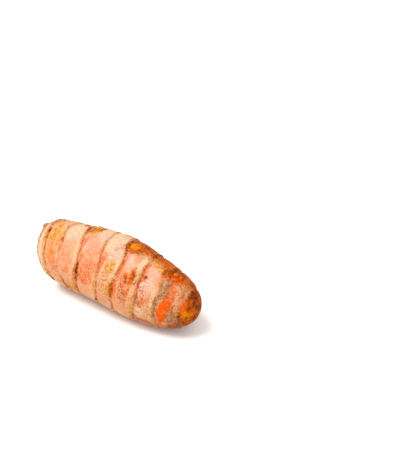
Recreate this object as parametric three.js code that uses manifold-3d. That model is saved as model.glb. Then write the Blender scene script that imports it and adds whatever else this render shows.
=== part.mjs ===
// A fresh turmeric root: one whole, unpeeled finger lying on its side.
//
// Units are millimetres and +Z is up. The finger lies along X. Its blunt growing tip points to +X, and the
// scar where it was broken off the mother root faces -X. The origin is on the resting surface, under the
// middle of the finger. Angles round the finger are in degrees: 0 is the top, 90 the front (-Y), 180 below.
//
// The skin is one closed surface, run from the middle of the scar to the tip. It is ruled by the rings
// that the fallen scale leaves left behind. Buds and root stubs are turned domes, fused to that surface.

import * as THREE from 'three';
import { ParametricGeometry } from 'three/addons/geometries/ParametricGeometry.js';
import { mergeVertices } from 'three/addons/utils/BufferGeometryUtils.js';
import Module from 'manifold-3d';

const wasm = await Module();
wasm.setup();

// Driving sizes: the finger's tip, and its thickness and the line of its middle along its length.
const TIP_X = 32.8;
const TIP_LENGTH = 12.8;
const STATIONS = [
  { x: -32, radius: 8.7, height: 12.45, side: -0.3 },
  { x: -26, radius: 10.2, height: 11.95, side: 0 },
  { x: -16, radius: 11.35, height: 11.7, side: 0.4 },
  { x: -8, radius: 11.85, height: 12.05, side: 0.4 },
  { x: 0, radius: 12.25, height: 12.15, side: 0.1 },
  { x: 8, radius: 11.85, height: 11.4, side: -0.3 },
  { x: 16, radius: 10.7, height: 10.6, side: -0.65 },
  { x: 24, radius: 8.9, height: 10.1, side: -0.9 },
  { x: 30, radius: 6.4, height: 9.75, side: -1 },
  { x: 36, radius: 3.6, height: 9.3, side: -1 },
];

// The rings. Each lies in a plane that leans: it is furthest towards the tip at the angle `toward`.
// A bend pushes one part of a ring along X. The first entry is the rim of the scar.
const RINGS = [
  {
    place: -29.9,
    lean: 3.1,
    toward: 132,
    bends: [
      { by: -0.75, at: 66, spread: 28 },
      { by: 1.4, at: -42, spread: 38 },
    ],
  },
  { place: -25.4, lean: 3.1, toward: 140, bends: [] },
  {
    place: -18.1,
    lean: 2.4,
    toward: 135,
    bends: [
      { by: -1.2, at: 12, spread: 28 },
      { by: -1.3, at: 85, spread: 25 },
      { by: -0.8, at: 215, spread: 40 },
    ],
  },
  {
    place: -12.6,
    lean: 3.1,
    toward: 82,
    bends: [{ by: -1.4, at: -5, spread: 38 }, { by: 1.6, at: 215, spread: 45 }],
  },
  {
    place: -3.2,
    lean: 3,
    toward: 80,
    bends: [{ by: -0.7, at: 20, spread: 25 }, { by: -1.2, at: 135, spread: 30 }],
  },
  { place: 3.6, lean: 2.4, toward: 75, bends: [{ by: 1.7, at: 34, spread: 26 }] },
  { place: 13, lean: 2, toward: 50, bends: [{ by: 0.6, at: 75, spread: 16 }] },
  { place: 21.2, lean: 1.4, toward: 45, bends: [{ by: 1.7, at: 32, spread: 27 }] },
  { place: 28.6, lean: 1.1, toward: 70, bends: [] },
];
const LAST_RING = RINGS.length - 1;

// The relief of one joint of the finger, from the ring behind it to the ring ahead of it.
const JOINT_SWELL = 0.32;
const GROOVE_DEPTH = 0.3;
const GROOVE_AHEAD = 0.6;
const GROOVE_BEHIND = 0.28;
const LIP_HEIGHT = 0.28;
const LIP_PLACE = 0.9;
const LIP_WIDTH = 0.65;
const RIM_ROUNDING = 0.9;
const RIM_ROUNDING_WIDTH = 1.6;

// The broken end: a shallow dish with two raised rings of tissue and a knob in the middle.
const DISH_DEPTH = 0.9;
const TISSUE_RING_HEIGHT = 0.35;
const TISSUE_RING_COUNT = 2.5;
const KNOB_HEIGHT = 1.1;
const KNOB_RADIUS = 2;

// The buds sit just ahead of a ring, on the top and low on the back in turn. The skin swells into a low
// mound under each one, and the bud itself is a small turned eye with a shallow ring round it.
const BUDS = [
  { ring: 3, angle: -14, ahead: 3.2, radius: 2.5 },
  { ring: 5, angle: -3, ahead: 2.5, radius: 3.2 },
  { ring: 7, angle: -2, ahead: 1.6, radius: 2.4 },
  { ring: 2, angle: 220, ahead: 2.2, radius: 2.7 },
  { ring: 4, angle: 228, ahead: 2.2, radius: 3.1 },
  { ring: 6, angle: 224, ahead: 2.2, radius: 3 },
  { ring: 8, angle: 200, ahead: 1.2, radius: 1.6 },
];
const MOUND_HEIGHT = 0.75;
const MOUND_SPREAD = 0.8;
const EYE_SHARE = 0.66;
const EYE_SINK = 1;
const EYE_TILT = 0.12;
const EYE_SEGMENTS = 14;

// Root stubs: most are drawn by a seeded rule on the lower sides, and three are set by hand, two of them
// leaning along the finger because they stand on its broken rim and on its tip.
const STUB_SEED = 7;
const STUB_COUNT = 9;
const STUB_SIDES = 7;
const STUB_SINK = 1;
const STUB_SIDEWAYS = { least: 38, most: 64 };
const STUB_AHEAD = { least: -0.4, most: 1.2 };
const STUB_RADIUS = { least: 0.55, most: 0.85 };
const STUB_HEIGHT = { least: 0.3, most: 0.6 };
const SET_STUBS = [
  { ring: 0, angle: 9, ahead: 0.6, radius: 0.95, height: 0.6, lean: -0.6 },
  { ring: 3, angle: -14, ahead: -2, radius: 0.6, height: 0.6, lean: 0 },
  { ring: 8, angle: 146, ahead: 3.3, radius: 0.7, height: 0.35, lean: 1.6 },
];

// How finely the skin is divided: round the finger, and along one joint as shares of its length.
const AROUND = 53;
const SCAR_SHARES = [0, 0.16, 0.3, 0.42, 0.54, 0.66, 0.78, 0.9];
const RIM_SHARES = [0, 0.12, 0.27, 0.5, 0.75, 0.92];
const JOINT_SHARES = [0, 0.07, 0.16, 0.32, 0.5, 0.66, 0.79, 0.88, 0.955];
const TIP_SHARES = [0, 0.1, 0.2, 0.3, 0.4, 0.5, 0.6, 0.7, 0.8, 0.9];

const radians = THREE.MathUtils.degToRad;
const bell = (distance, width) => Math.exp(-((distance / width) ** 2));

// The shorter way round from one angle to another.
const turnBetween = (angle, from) => Math.atan2(Math.sin(angle - from), Math.cos(angle - from));

// The slope of one station's value, from its neighbours on both sides.
function stationSlope(index, key) {
  const from = STATIONS[Math.max(index - 1, 0)];
  const to = STATIONS[Math.min(index + 1, STATIONS.length - 1)];
  return (to[key] - from[key]) / (to.x - from.x);
}

// A station value at any X, on a smooth curve through the stations.
function along(x, key) {
  let index = 0;
  while (index < STATIONS.length - 2 && x > STATIONS[index + 1].x) {
    index += 1;
  }
  const from = STATIONS[index];
  const to = STATIONS[index + 1];
  const length = to.x - from.x;
  const t = THREE.MathUtils.clamp((x - from.x) / length, 0, 1);
  const ease = t * t * (3 - 2 * t);
  const leave = t * (1 - t) * (1 - t) * length * stationSlope(index, key);
  const arrive = t * t * (t - 1) * length * stationSlope(index + 1, key);
  return from[key] * (1 - ease) + to[key] * ease + leave + arrive;
}

// Where a ring crosses the given angle, along X. The line past the last ring is the tip itself.
function ringX(ring, angle) {
  if (ring > LAST_RING) {
    return TIP_X;
  }
  const { place, lean, toward, bends } = RINGS[ring];
  const push = ({ by, at, spread }) => by * bell(turnBetween(angle, radians(at)), radians(spread));
  return bends.reduce((x, bend) => x + push(bend), place + lean * Math.cos(angle - radians(toward)));
}

// The plain thickness at X: the station radius, slightly out of round, drawn in to nothing at the tip.
function plainRadius(x, angle) {
  const oval = 0.01 * Math.cos(2 * angle - 0.6 + 0.05 * x);
  const lobe = 0.008 * Math.cos(3 * angle + 1.1 - 0.04 * x);
  const share = THREE.MathUtils.clamp((x - TIP_X + TIP_LENGTH) / TIP_LENGTH, 0, 1);
  return along(x, 'radius') * (1 + oval + lobe) * Math.sqrt(1 - share ** 6);
}

// The low mound of skin under the buds. Distances over the skin are measured along X and round it.
function moundHeight(x, angle) {
  let height = 0;
  for (const bud of BUDS) {
    const theta = radians(bud.angle);
    const round = turnBetween(angle, theta) * along(x, 'radius');
    const distance = Math.hypot(x - ringX(bud.ring, theta) - bud.ahead, round);
    height += MOUND_HEIGHT * bell(distance, bud.radius * MOUND_SPREAD);
  }
  return height;
}

// A ring's groove is deeper on some sides of the finger than on others.
function grooveDepth(ring, angle) {
  return GROOVE_DEPTH * (0.8 + 0.2 * Math.sin(2 * angle + 1.9 * ring));
}

// What stands proud of the plain thickness: the joint's swell and lip, its ring grooves and the mounds.
function relief(joint, x, angle) {
  const behind = x - ringX(joint, angle);
  const ahead = ringX(joint + 1, angle) - x;
  let height = moundHeight(x, angle);
  if (joint === 0) {
    height -= RIM_ROUNDING * Math.max(1 - behind / RIM_ROUNDING_WIDTH, 0) ** 2;
  } else {
    height += JOINT_SWELL * Math.sin((Math.PI * behind) / (behind + ahead));
    height -= grooveDepth(joint, angle) * bell(behind, GROOVE_AHEAD);
  }
  if (joint < LAST_RING) {
    height += LIP_HEIGHT * bell(ahead - LIP_PLACE, LIP_WIDTH);
    height -= grooveDepth(joint + 1, angle) * bell(ahead, GROOVE_BEHIND);
  }
  return height;
}

// A point at a radius and angle from the middle line, kept on or above the resting surface.
function setPoint(target, x, radius, angle, middleX) {
  const y = along(middleX, 'side') - radius * Math.sin(angle);
  const z = along(middleX, 'height') + radius * Math.cos(angle);
  return target.set(x, y, Math.max(z, 0));
}

// A point of the broken end, at a share of the way from its middle to its rim.
function scarPoint(share, angle, target) {
  const rimX = ringX(0, angle);
  const radius = share * (plainRadius(rimX, angle) + relief(0, rimX, angle));
  const wave = Math.cos(2 * Math.PI * TISSUE_RING_COUNT * share);
  const tissue = -TISSUE_RING_HEIGHT * wave * Math.sin(Math.PI * share);
  const dish = DISH_DEPTH * (1 - share ** 4);
  const knob = -KNOB_HEIGHT * bell(radius, KNOB_RADIUS);
  const plane = THREE.MathUtils.lerp(RINGS[0].place, rimX, share);
  return setPoint(target, plane + dish + tissue + knob, radius, angle, plane);
}

// A point of the skin, at a share of the way along a joint. The tip's shares crowd towards its end.
function skinPoint(joint, share, angle, target) {
  const isTip = joint === LAST_RING;
  const eased = isTip ? Math.sin((share * Math.PI) / 2) : share;
  const x = THREE.MathUtils.lerp(ringX(joint, angle), ringX(joint + 1, angle), eased);
  const fade = isTip ? Math.sqrt(Math.max(1 - eased ** 4, 0)) : 1;
  return setPoint(target, x, plainRadius(x, angle) + relief(joint, x, angle) * fade, angle, x);
}

// The rows of the skin, from the scar's middle to the tip. The whole part of a level names its joint.
function rowLevels() {
  const levels = SCAR_SHARES.map((share) => share - 1);
  levels.push(...RIM_SHARES);
  for (let joint = 1; joint < LAST_RING; joint += 1) {
    levels.push(...JOINT_SHARES.map((share) => joint + share));
  }
  levels.push(...TIP_SHARES.map((share) => LAST_RING + share));
  levels.push(LAST_RING + 1);
  return levels;
}

// The surface of the finger, over the rows and once round.
function fingerGeometry() {
  const levels = rowLevels();
  const rows = levels.length - 1;
  const surface = (u, v, target) => {
    const row = THREE.MathUtils.clamp(v * rows, 0, rows);
    const first = Math.min(Math.floor(row + 1e-6), rows - 1);
    const level = THREE.MathUtils.lerp(levels[first], levels[first + 1], row - first);
    const joint = Math.min(Math.floor(level + 1e-9), LAST_RING);
    const angle = 2 * Math.PI * u;
    return level < 0
      ? scarPoint(Math.max(level + 1, 0), angle, target)
      : skinPoint(joint, level - joint, angle, target);
  };
  return new ParametricGeometry(surface, AROUND, rows);
}

// A closed geometry as a solid for joining.
function solidOf(geometry) {
  geometry.deleteAttribute('normal');
  geometry.deleteAttribute('uv');
  const merged = mergeVertices(geometry, 1e-4);
  const corners = merged.index.array;
  const triangles = [];
  for (let i = 0; i < corners.length; i += 3) {
    const [a, b, c] = corners.slice(i, i + 3);
    if (a !== b && b !== c && c !== a) {
      triangles.push(a, b, c);
    }
  }
  const mesh = new wasm.Mesh({
    numProp: 3,
    vertProperties: new Float32Array(merged.attributes.position.array),
    triVerts: new Uint32Array(triangles),
  });
  return new wasm.Manifold(mesh);
}

// A dome turned from a profile of [radius, height] pairs, standing on the skin just ahead of a ring.
function domeOnSkin(profile, segments, { ring, angle, ahead }, tilt) {
  const turned = new THREE.LatheGeometry(profile.map(([r, h]) => new THREE.Vector2(r, h)), segments);
  const theta = radians(angle);
  const x = ringX(ring, theta) + ahead;
  const joint = ahead < 0 ? ring - 1 : ring;
  const foot = setPoint(new THREE.Vector3(), x, plainRadius(x, theta) + relief(joint, x, theta), theta, x);
  const outward = new THREE.Vector3(tilt, -Math.sin(theta), Math.cos(theta)).normalize();
  const turnTo = new THREE.Quaternion().setFromUnitVectors(new THREE.Vector3(0, 1, 0), outward);
  turned.applyQuaternion(turnTo);
  turned.translate(foot.x, foot.y, foot.z);
  return turned;
}

// A dormant bud's eye: a raised edge, a shallow ring inside it, and a small dome in the middle.
function eyeGeometry(bud) {
  const edge = bud.radius * EYE_SHARE;
  const rings = [[0, -EYE_SINK], [1.1, -EYE_SINK], [1, -0.6], [0.86, -0.22], [0.72, -0.08], [0.58, -0.16],
    [0.46, 0.08], [0.26, 0.28], [0, 0.36]];
  return domeOnSkin(rings.map(([share, height]) => [share * edge, height]), EYE_SEGMENTS, bud, EYE_TILT);
}

// The short stump of a root: a small tapered peg with a rounded end.
function stubGeometry(stub) {
  const { radius, height } = stub;
  const profile = [[0, -STUB_SINK], [radius * 1.6, -STUB_SINK], [radius * 1.2, 0],
    [radius * 0.75, height * 0.75], [0, height]];
  return domeOnSkin(profile, STUB_SIDES, stub, stub.lean);
}

// A repeatable source of numbers from 0 to 1.
function seededDraw(seed) {
  let state = seed;
  return () => {
    state = (state * 16807) % 2147483647;
    return state / 2147483647;
  };
}

// The drawn stubs: near the rings, low on both sides, and clear of the place that the finger rests on.
function drawnStubs() {
  const draw = seededDraw(STUB_SEED);
  const between = ({ least, most }) => least + (most - least) * draw();
  const stubs = [];
  for (let i = 0; i < STUB_COUNT; i += 1) {
    const sideways = between(STUB_SIDEWAYS);
    stubs.push({
      ring: 1 + (i % (LAST_RING - 1)),
      angle: i % 2 === 0 ? 180 + sideways : 180 - sideways,
      ahead: between(STUB_AHEAD),
      radius: between(STUB_RADIUS),
      height: between(STUB_HEIGHT),
      lean: 0,
    });
  }
  return stubs;
}

// A solid back as a geometry that holds its corners and triangles.
function geometryOf(solid) {
  const mesh = solid.getMesh();
  const geometry = new THREE.BufferGeometry();
  geometry.setAttribute('position', new THREE.BufferAttribute(mesh.vertProperties, 3));
  geometry.setIndex(new THREE.BufferAttribute(mesh.triVerts, 1));
  geometry.computeVertexNormals();
  return geometry;
}

// The finger with its buds and root stubs grown into it.
function rootGeometry() {
  let solid = solidOf(fingerGeometry());
  for (const bud of BUDS) {
    solid = solid.add(solidOf(eyeGeometry(bud)));
  }
  for (const stub of [...SET_STUBS, ...drawnStubs()]) {
    solid = solid.add(solidOf(stubGeometry(stub)));
  }
  return geometryOf(solid);
}

// Thin, dry, tan to salmon skin over orange flesh.
function skinMaterial() {
  return new THREE.MeshStandardMaterial({ color: 0xe3a27a, roughness: 0.6, metalness: 0 });
}

// The whole root, as one grown piece.
function turmericRoot() {
  const root = new THREE.Mesh(rootGeometry(), skinMaterial());
  root.name = 'turmeric_root';
  return root;
}

const turmeric = new THREE.Group();
turmeric.add(turmericRoot());

export default turmeric;
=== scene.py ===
"""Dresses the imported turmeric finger: its skin, buds, broken end, root stubs and scale remains.

The finger lies along X with its growing tip at +X, and angles round it are in degrees: 0 is the top,
90 the front (-Y) and 180 the underside. Form sizes are in millimetres and Blender's own are in metres.
"""

import logging
import math
from dataclasses import dataclass, field
from enum import Enum
from typing import Any, NamedTuple, Protocol

import bpy
import numpy as np
from mathutils import Matrix, Vector


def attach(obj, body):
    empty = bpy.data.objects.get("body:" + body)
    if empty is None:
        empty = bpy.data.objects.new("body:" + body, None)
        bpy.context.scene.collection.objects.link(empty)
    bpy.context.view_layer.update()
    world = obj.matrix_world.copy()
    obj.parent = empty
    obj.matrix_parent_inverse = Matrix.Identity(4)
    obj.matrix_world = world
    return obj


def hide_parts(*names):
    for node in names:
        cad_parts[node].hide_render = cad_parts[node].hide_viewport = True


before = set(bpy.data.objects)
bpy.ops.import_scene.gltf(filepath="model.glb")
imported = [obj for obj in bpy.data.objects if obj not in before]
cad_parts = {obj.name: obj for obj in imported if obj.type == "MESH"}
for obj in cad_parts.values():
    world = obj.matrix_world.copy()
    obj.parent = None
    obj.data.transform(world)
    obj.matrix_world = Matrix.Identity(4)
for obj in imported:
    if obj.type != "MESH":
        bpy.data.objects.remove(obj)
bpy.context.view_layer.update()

log = logging.getLogger("turmeric")

MM = 0.001
BODY = "root"
NODE = "turmeric_root"
FULL_TURN = 2 * math.pi

Tree = bpy.types.NodeTree
Socket = bpy.types.NodeSocket
Material = bpy.types.Material


def smooth_step(low: float, high: float, value: np.ndarray) -> np.ndarray:
    """Eases value from 0 at low to 1 at high.

    Args:
        low: where the result leaves 0.
        high: where the result reaches 1.
        value: the numbers to ease.

    Returns:
        Numbers from 0 to 1.
    """
    t = np.clip((value - low) / (high - low), 0, 1)
    return t * t * (3 - 2 * t)


def bell(distance: np.ndarray, width: float | np.ndarray) -> np.ndarray:
    """A bump of height 1 that falls away over width."""
    return np.exp(-((distance / width) ** 2))


def turn_between(angle: np.ndarray, start: float) -> np.ndarray:
    """The shorter way round from start to angle, both in radians."""
    return np.arctan2(np.sin(angle - start), np.cos(angle - start))


def ripple(phase: np.ndarray) -> np.ndarray:
    """A wave from 0 to 1 that repeats with each full turn of phase."""
    return 0.5 + 0.5 * np.sin(phase)


class Ramp(NamedTuple):
    """An eased climb from 0 at low to 1 at high. It falls where high is the smaller of the two."""

    low: float
    high: float

    def at(self, value: np.ndarray) -> np.ndarray:
        """The climb's height at each value."""
        return smooth_step(self.low, self.high, value)


class Grain:
    """Smooth, repeatable noise over points, for forms and stains that no two roots share.

    Each lattice cell has a fixed number, stirred from its place and the seed in 32-bit whole numbers.
    """

    AXIS_FACTORS = (374761393, 668265263, 1442695041)
    SEED_FACTOR = 1013904223
    STIRS = ((13, 1274126177), (15, 668265263))
    LAST_SHIFT = 16
    LOW_BITS = 0xFFFFFFFF
    HALF_RANGE = 2147483648.0
    OCTAVE_STEP = 17.3

    def __init__(self, seed: int) -> None:
        """Keeps the seed that sets this grain apart from others."""
        self.seed = seed

    def _corner(self, cell: np.ndarray) -> np.ndarray:
        """The fixed number of each lattice cell.

        Args:
            cell: whole cell numbers (n, 3).

        Returns:
            Numbers from -1 to 1 (n).
        """
        mask = np.int64(self.LOW_BITS)
        stirred = cell @ np.array(self.AXIS_FACTORS, np.int64)
        stirred = (stirred + self.seed * self.SEED_FACTOR) & mask
        for shift, factor in self.STIRS:
            stirred = ((stirred ^ (stirred >> shift)) * factor) & mask
        return (stirred ^ (stirred >> self.LAST_SHIFT)) / self.HALF_RANGE - 1.0

    def _layer(self, points: np.ndarray) -> np.ndarray:
        """One octave of the noise.

        Args:
            points: places, measured in cells (n, 3).

        Returns:
            Numbers from -1 to 1 (n).
        """
        base = np.floor(points).astype(np.int64)
        part = points - base
        ease = part * part * (3 - 2 * part)
        total = np.zeros(len(points))
        for corner in range(8):
            step = np.array([corner & 1, corner >> 1 & 1, corner >> 2 & 1])
            weight = np.prod(np.where(step == 1, ease, 1 - ease), axis=1)
            total += weight * self._corner(base + step)
        return total

    def at(self, points: np.ndarray, size: float, octaves: int = 2) -> np.ndarray:
        """The noise at each point.

        Args:
            points: places, with 3 numbers in the last axis, in millimetres.
            size: the span of one cell of the coarsest octave, in millimetres.
            octaves: how many octaves are summed, each half the size and strength of the last.

        Returns:
            Numbers from about -1 to 1, in the shape of points without its last axis.
        """
        flat = points.reshape(-1, 3) / size
        total = np.zeros(len(flat))
        for octave in range(octaves):
            total += self._layer(flat * 2**octave + self.OCTAVE_STEP * octave) / 2**octave
        return (total / (2 - 0.5 ** (octaves - 1))).reshape(points.shape[:-1])


class Tone(Enum):
    """The stains and bare places that break up the skin, each kept as an attribute of that name; some also
    carry painted shade, and cream a painted lip highlight.
    """

    CREAM = "cream"
    PEARL = "pearl"
    BLUSH = "blush"
    OCHRE = "ochre"
    RUST = "rust"
    TAWNY = "tawny"
    AMBER = "amber"
    EMBER = "ember"
    UMBER = "umber"
    ASH = "ash"
    SOOT = "soot"
    GRIT = "grit"
    CORK = "cork"


class Station(NamedTuple):
    """The finger at one place along X: its radius, and the height and sideways place of its middle."""

    x: float
    radius: float
    height: float
    side: float


class Lobing(NamedTuple):
    """How the finger is out of round: a share of its radius, the lobes round it, their start and drift."""

    share: float
    lobes: int
    start: float
    drift: float


class Bend(NamedTuple):
    """A push of part of a ring along X, round an angle."""

    by: float
    at: float
    spread: float


class Mark(NamedTuple):
    """A stretch of a ring where dirt has settled and the line is darker."""

    at: float
    spread: float
    strength: float


@dataclass(frozen=True)
class LeafRing:
    """The scar line that a fallen scale leaf left round the finger.

    Pale, warm and tan are the strengths of the bare strip behind the line, the glow along it and the band.
    """

    place: float
    lean: float
    toward: float
    bends: tuple[Bend, ...] = ()
    marks: tuple[Mark, ...] = ()
    pale: float = 0
    pale_to: float = 60
    warm: float = 0.15
    tan: float = 0.15
    ragged: float = 0.07
    waves: tuple[int, ...] = (13, 23, 37, 59)

    def x_at(self, angle: np.ndarray) -> np.ndarray:
        """Where the ring crosses each angle.

        Args:
            angle: angles in radians.

        Returns:
            Places along X.
        """
        x = self.place + self.lean * np.cos(angle - math.radians(self.toward))
        for bend in self.bends:
            x = x + bend.by * bell(turn_between(angle, math.radians(bend.at)), math.radians(bend.spread))
        for waves in self.waves:
            x = x + self.ragged * np.sin(waves * angle + self.place * waves)
        return x

    def darkness(self, angle: np.ndarray) -> np.ndarray:
        """How dark the marked stretches are.

        Args:
            angle: angles in radians.

        Returns:
            Strengths from 0, at each angle.
        """
        total = np.zeros_like(angle)
        for mark in self.marks:
            reach = bell(turn_between(angle, math.radians(mark.at)), math.radians(mark.spread))
            total = np.maximum(total, mark.strength * reach)
        return total


class Hollow(NamedTuple):
    """A shallow dent in the skin: its middle, half sizes along X and round in degrees, and depth."""

    x: float
    angle: float
    along: float
    turn: float
    depth: float


@dataclass(frozen=True)
class Bud:
    """A dormant bud: a low mound with a ringed eye, just ahead of a leaf ring.

    Core is the stained middle's share of the eye, and lines is the strength of the outlines round it.
    """

    ring: int
    angle: float
    ahead: float
    radius: float
    vivid: float = 0.5
    halo: Tone = Tone.TAWNY
    eye: Tone = Tone.AMBER
    core: float = 0.9
    lines: float = 0.8


@dataclass(frozen=True)
class FingerForm:
    """The finger's sizes, in millimetres, and the rule that turns them into a surface."""

    tip_x: float = 32.8
    tip_length: float = 12.8
    stations: tuple[Station, ...] = (
        Station(-32, 8.7, 12.45, -0.3),
        Station(-26, 10.2, 11.95, 0),
        Station(-16, 11.35, 11.7, 0.4),
        Station(-8, 11.85, 12.05, 0.4),
        Station(0, 12.25, 12.15, 0.1),
        Station(8, 11.85, 11.4, -0.3),
        Station(16, 10.7, 10.6, -0.65),
        Station(24, 8.9, 10.1, -0.9),
        Station(30, 6.4, 9.75, -1),
        Station(36, 3.6, 9.3, -1),
    )
    rings: tuple[LeafRing, ...] = (
        LeafRing(-29.9, 3.1, 132, (Bend(-0.75, 66, 28), Bend(1.4, -42, 38)), tan=0),
        LeafRing(
            -25.4, 3.1, 140, (),
            (Mark(-6, 10, 0.75), Mark(12, 14, 0.55), Mark(22, 11, 1), Mark(38, 12, 0.85), Mark(60, 20, 0.85),
             Mark(85, 14, 0.8), Mark(105, 9, 0.8), Mark(118, 10, 0.6)),
            0.6, 120, 0.12, 0.55,
        ),
        LeafRing(
            -18.1, 2.4, 135,
            (Bend(-1.2, 12, 28), Bend(-1.3, 85, 25), Bend(-0.8, 215, 40)),
            (Mark(10, 8, 0.35), Mark(22, 9, 0.5), Mark(34, 8, 0.8), Mark(46, 6, 0.35), Mark(85, 14, 0.2),
             Mark(103, 10, 0.55), Mark(117, 10, 0.8)),
            0.5, 20,
        ),
        LeafRing(
            -12.6, 3.1, 82,
            (Bend(-1.4, -5, 38), Bend(1.6, 215, 45)),
            (Mark(-15, 8, 0.6), Mark(-4, 9, 0.9), Mark(6, 7, 0.8), Mark(26, 12, 0.6), Mark(44, 14, 0.45),
             Mark(66, 8, 1), Mark(77, 8, 1.1), Mark(90, 9, 0.9), Mark(106, 12, 0.75), Mark(120, 10, 0.75)),
            0.9, 60, 0.22,
        ),
        LeafRing(
            -3.2, 3, 80,
            (Bend(-0.7, 20, 25), Bend(-1.2, 135, 30)),
            (Mark(16, 7, 0.35), Mark(27, 8, 0.5), Mark(45, 14, 0.7), Mark(66, 12, 0.4), Mark(86, 10, 0.65),
             Mark(100, 10, 0.7), Mark(115, 12, 0.75)),
            0.7, 30, 0.18,
        ),
        LeafRing(
            3.6, 2.4, 75,
            (Bend(1.7, 34, 26),),
            (Mark(-16, 9, 0.6), Mark(-4, 8, 0.2), Mark(6, 8, 0.5), Mark(17, 7, 0.85), Mark(30, 12, 0.65),
             Mark(50, 14, 0.5), Mark(66, 8, 0.7), Mark(78, 9, 0.6), Mark(92, 10, 0.6), Mark(112, 14, 0.8)),
            0.7, 60, 0.2,
        ),
        LeafRing(
            13, 2, 50,
            (Bend(0.6, 75, 16),),
            (Mark(-15, 8, 1), Mark(-4, 6, 0.6), Mark(8, 8, 0.35), Mark(20, 8, 0.5), Mark(32, 10, 0.75),
             Mark(52, 14, 0.75), Mark(72, 12, 0.8), Mark(86, 8, 0.5), Mark(100, 10, 0.5), Mark(116, 10, 0.8)),
            0.9, 35,
        ),
        LeafRing(
            21.2, 1.4, 45,
            (Bend(1.7, 32, 27),),
            (Mark(-18, 9, 0.95), Mark(-6, 8, 0.9), Mark(4, 6, 0.8), Mark(78, 8, 0.3), Mark(95, 10, 0.5),
             Mark(112, 12, 0.4)),
            warm=0.08,
        ),
        LeafRing(
            28.6, 1.1, 70, (),
            (Mark(86, 7, 0.8), Mark(95, 7, 1.1), Mark(106, 8, 1), Mark(118, 8, 0.7)),
            warm=0.08,
        ),
    )
    buds: tuple[Bud, ...] = (
        Bud(3, -14, 3.2, 2.5, 0.9, Tone.OCHRE, Tone.OCHRE, 0.7),
        Bud(5, -3, 2.5, 3.2, 1.0, Tone.TAWNY, Tone.AMBER, 0.85, 0.75),
        Bud(7, -2, 1.6, 2.4, 1.0, Tone.EMBER, Tone.AMBER, 0.5, 1.0),
        Bud(2, 220, 2.2, 2.7, 0.5, Tone.OCHRE, Tone.OCHRE),
        Bud(4, 228, 2.2, 3.1, 0.6, Tone.TAWNY, Tone.OCHRE, 0.7),
        Bud(6, 224, 2.2, 3, 0.5, Tone.RUST, Tone.OCHRE, 0.8),
        Bud(8, 200, 1.2, 1.6, 0.5, Tone.OCHRE, Tone.OCHRE),
    )
    hollows: tuple[Hollow, ...] = (
        Hollow(-31.5, -28, 1.6, 34, 0.5), Hollow(-21.6, 46, 2.2, 22, 0.16), Hollow(-8.4, 22, 2.0, 20, 0.14),
        Hollow(1.4, 36, 1.6, 18, 0.16), Hollow(10.6, 54, 1.4, 14, 0.22), Hollow(17.0, 92, 2.0, 18, 0.14),
        Hollow(23.0, 30, 1.0, 16, 0.2), Hollow(-3.0, 250, 2.4, 22, 0.2), Hollow(14.0, 290, 2.2, 20, 0.18),
    )
    lobing: tuple[Lobing, ...] = (Lobing(0.01, 2, -0.6, 0.05), Lobing(0.008, 3, 1.1, -0.04))
    tip_bluntness: int = 6
    swell: float = 0.32
    groove_depth: float = 0.3
    groove_ahead: float = 0.6
    groove_behind: float = 0.28
    clean_groove: float = 0.4
    groove_wave: float = 0.2
    groove_turn: float = 1.9
    lip_height: float = 0.28
    lip_place: float = 0.9
    lip_width: float = 0.65
    rim_rounding: float = 0.9
    rim_rounding_width: float = 1.6
    dish_depth: float = 0.9
    tissue_height: float = 0.35
    tissue_count: float = 2.5
    knob_height: float = 1.1
    knob_radius: float = 2.0
    mound_height: float = 0.75
    mound_spread: float = 0.8
    eye_share: float = 0.66
    eye_profile: tuple[tuple[float, float], ...] = (
        (0, 0.36), (0.26, 0.28), (0.46, 0.08), (0.58, -0.16), (0.72, -0.08), (0.86, -0.05), (1.15, 0),
    )

    @property
    def last_ring(self) -> int:
        """The number of the last ring before the tip."""
        return len(self.rings) - 1

    def along(self, x: np.ndarray, name: str) -> np.ndarray:
        """A station value at any X, on a smooth curve through the stations.

        Args:
            x: places along X.
            name: the Station field wanted.

        Returns:
            The value at each place.
        """
        xs = np.array([s.x for s in self.stations], float)
        ys = np.array([getattr(s, name) for s in self.stations], float)
        before = np.maximum(np.arange(len(xs)) - 1, 0)
        after = np.minimum(np.arange(len(xs)) + 1, len(xs) - 1)
        slope = (ys[after] - ys[before]) / (xs[after] - xs[before])
        i = np.clip(np.searchsorted(xs, x) - 1, 0, len(xs) - 2)
        length = xs[i + 1] - xs[i]
        t = np.clip((x - xs[i]) / length, 0, 1)
        ease = t * t * (3 - 2 * t)
        leave = t * (1 - t) ** 2 * length * slope[i]
        arrive = t * t * (t - 1) * length * slope[i + 1]
        return ys[i] * (1 - ease) + ys[i + 1] * ease + leave + arrive

    def ring_x(self, ring: int, angle: np.ndarray) -> np.ndarray:
        """Where a ring crosses each angle.

        Args:
            ring: the number of the ring. Past the last ring it is the tip itself.
            angle: angles in radians.

        Returns:
            Places along X.
        """
        if ring > self.last_ring:
            return np.full_like(angle, self.tip_x)
        return self.rings[ring].x_at(angle)

    def plain_radius(self, x: np.ndarray, angle: np.ndarray) -> np.ndarray:
        """The thickness of the finger, slightly out of round and drawn in to nothing at the tip.

        Args:
            x: places along X.
            angle: angles in radians.

        Returns:
            Radii in millimetres.
        """
        roundness = 1.0
        for wave in self.lobing:
            roundness = roundness + wave.share * np.cos(wave.lobes * angle + wave.start + wave.drift * x)
        share = np.clip((x - self.tip_x + self.tip_length) / self.tip_length, 0, 1)
        return self.along(x, "radius") * roundness * np.sqrt(1 - share**self.tip_bluntness)

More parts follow.
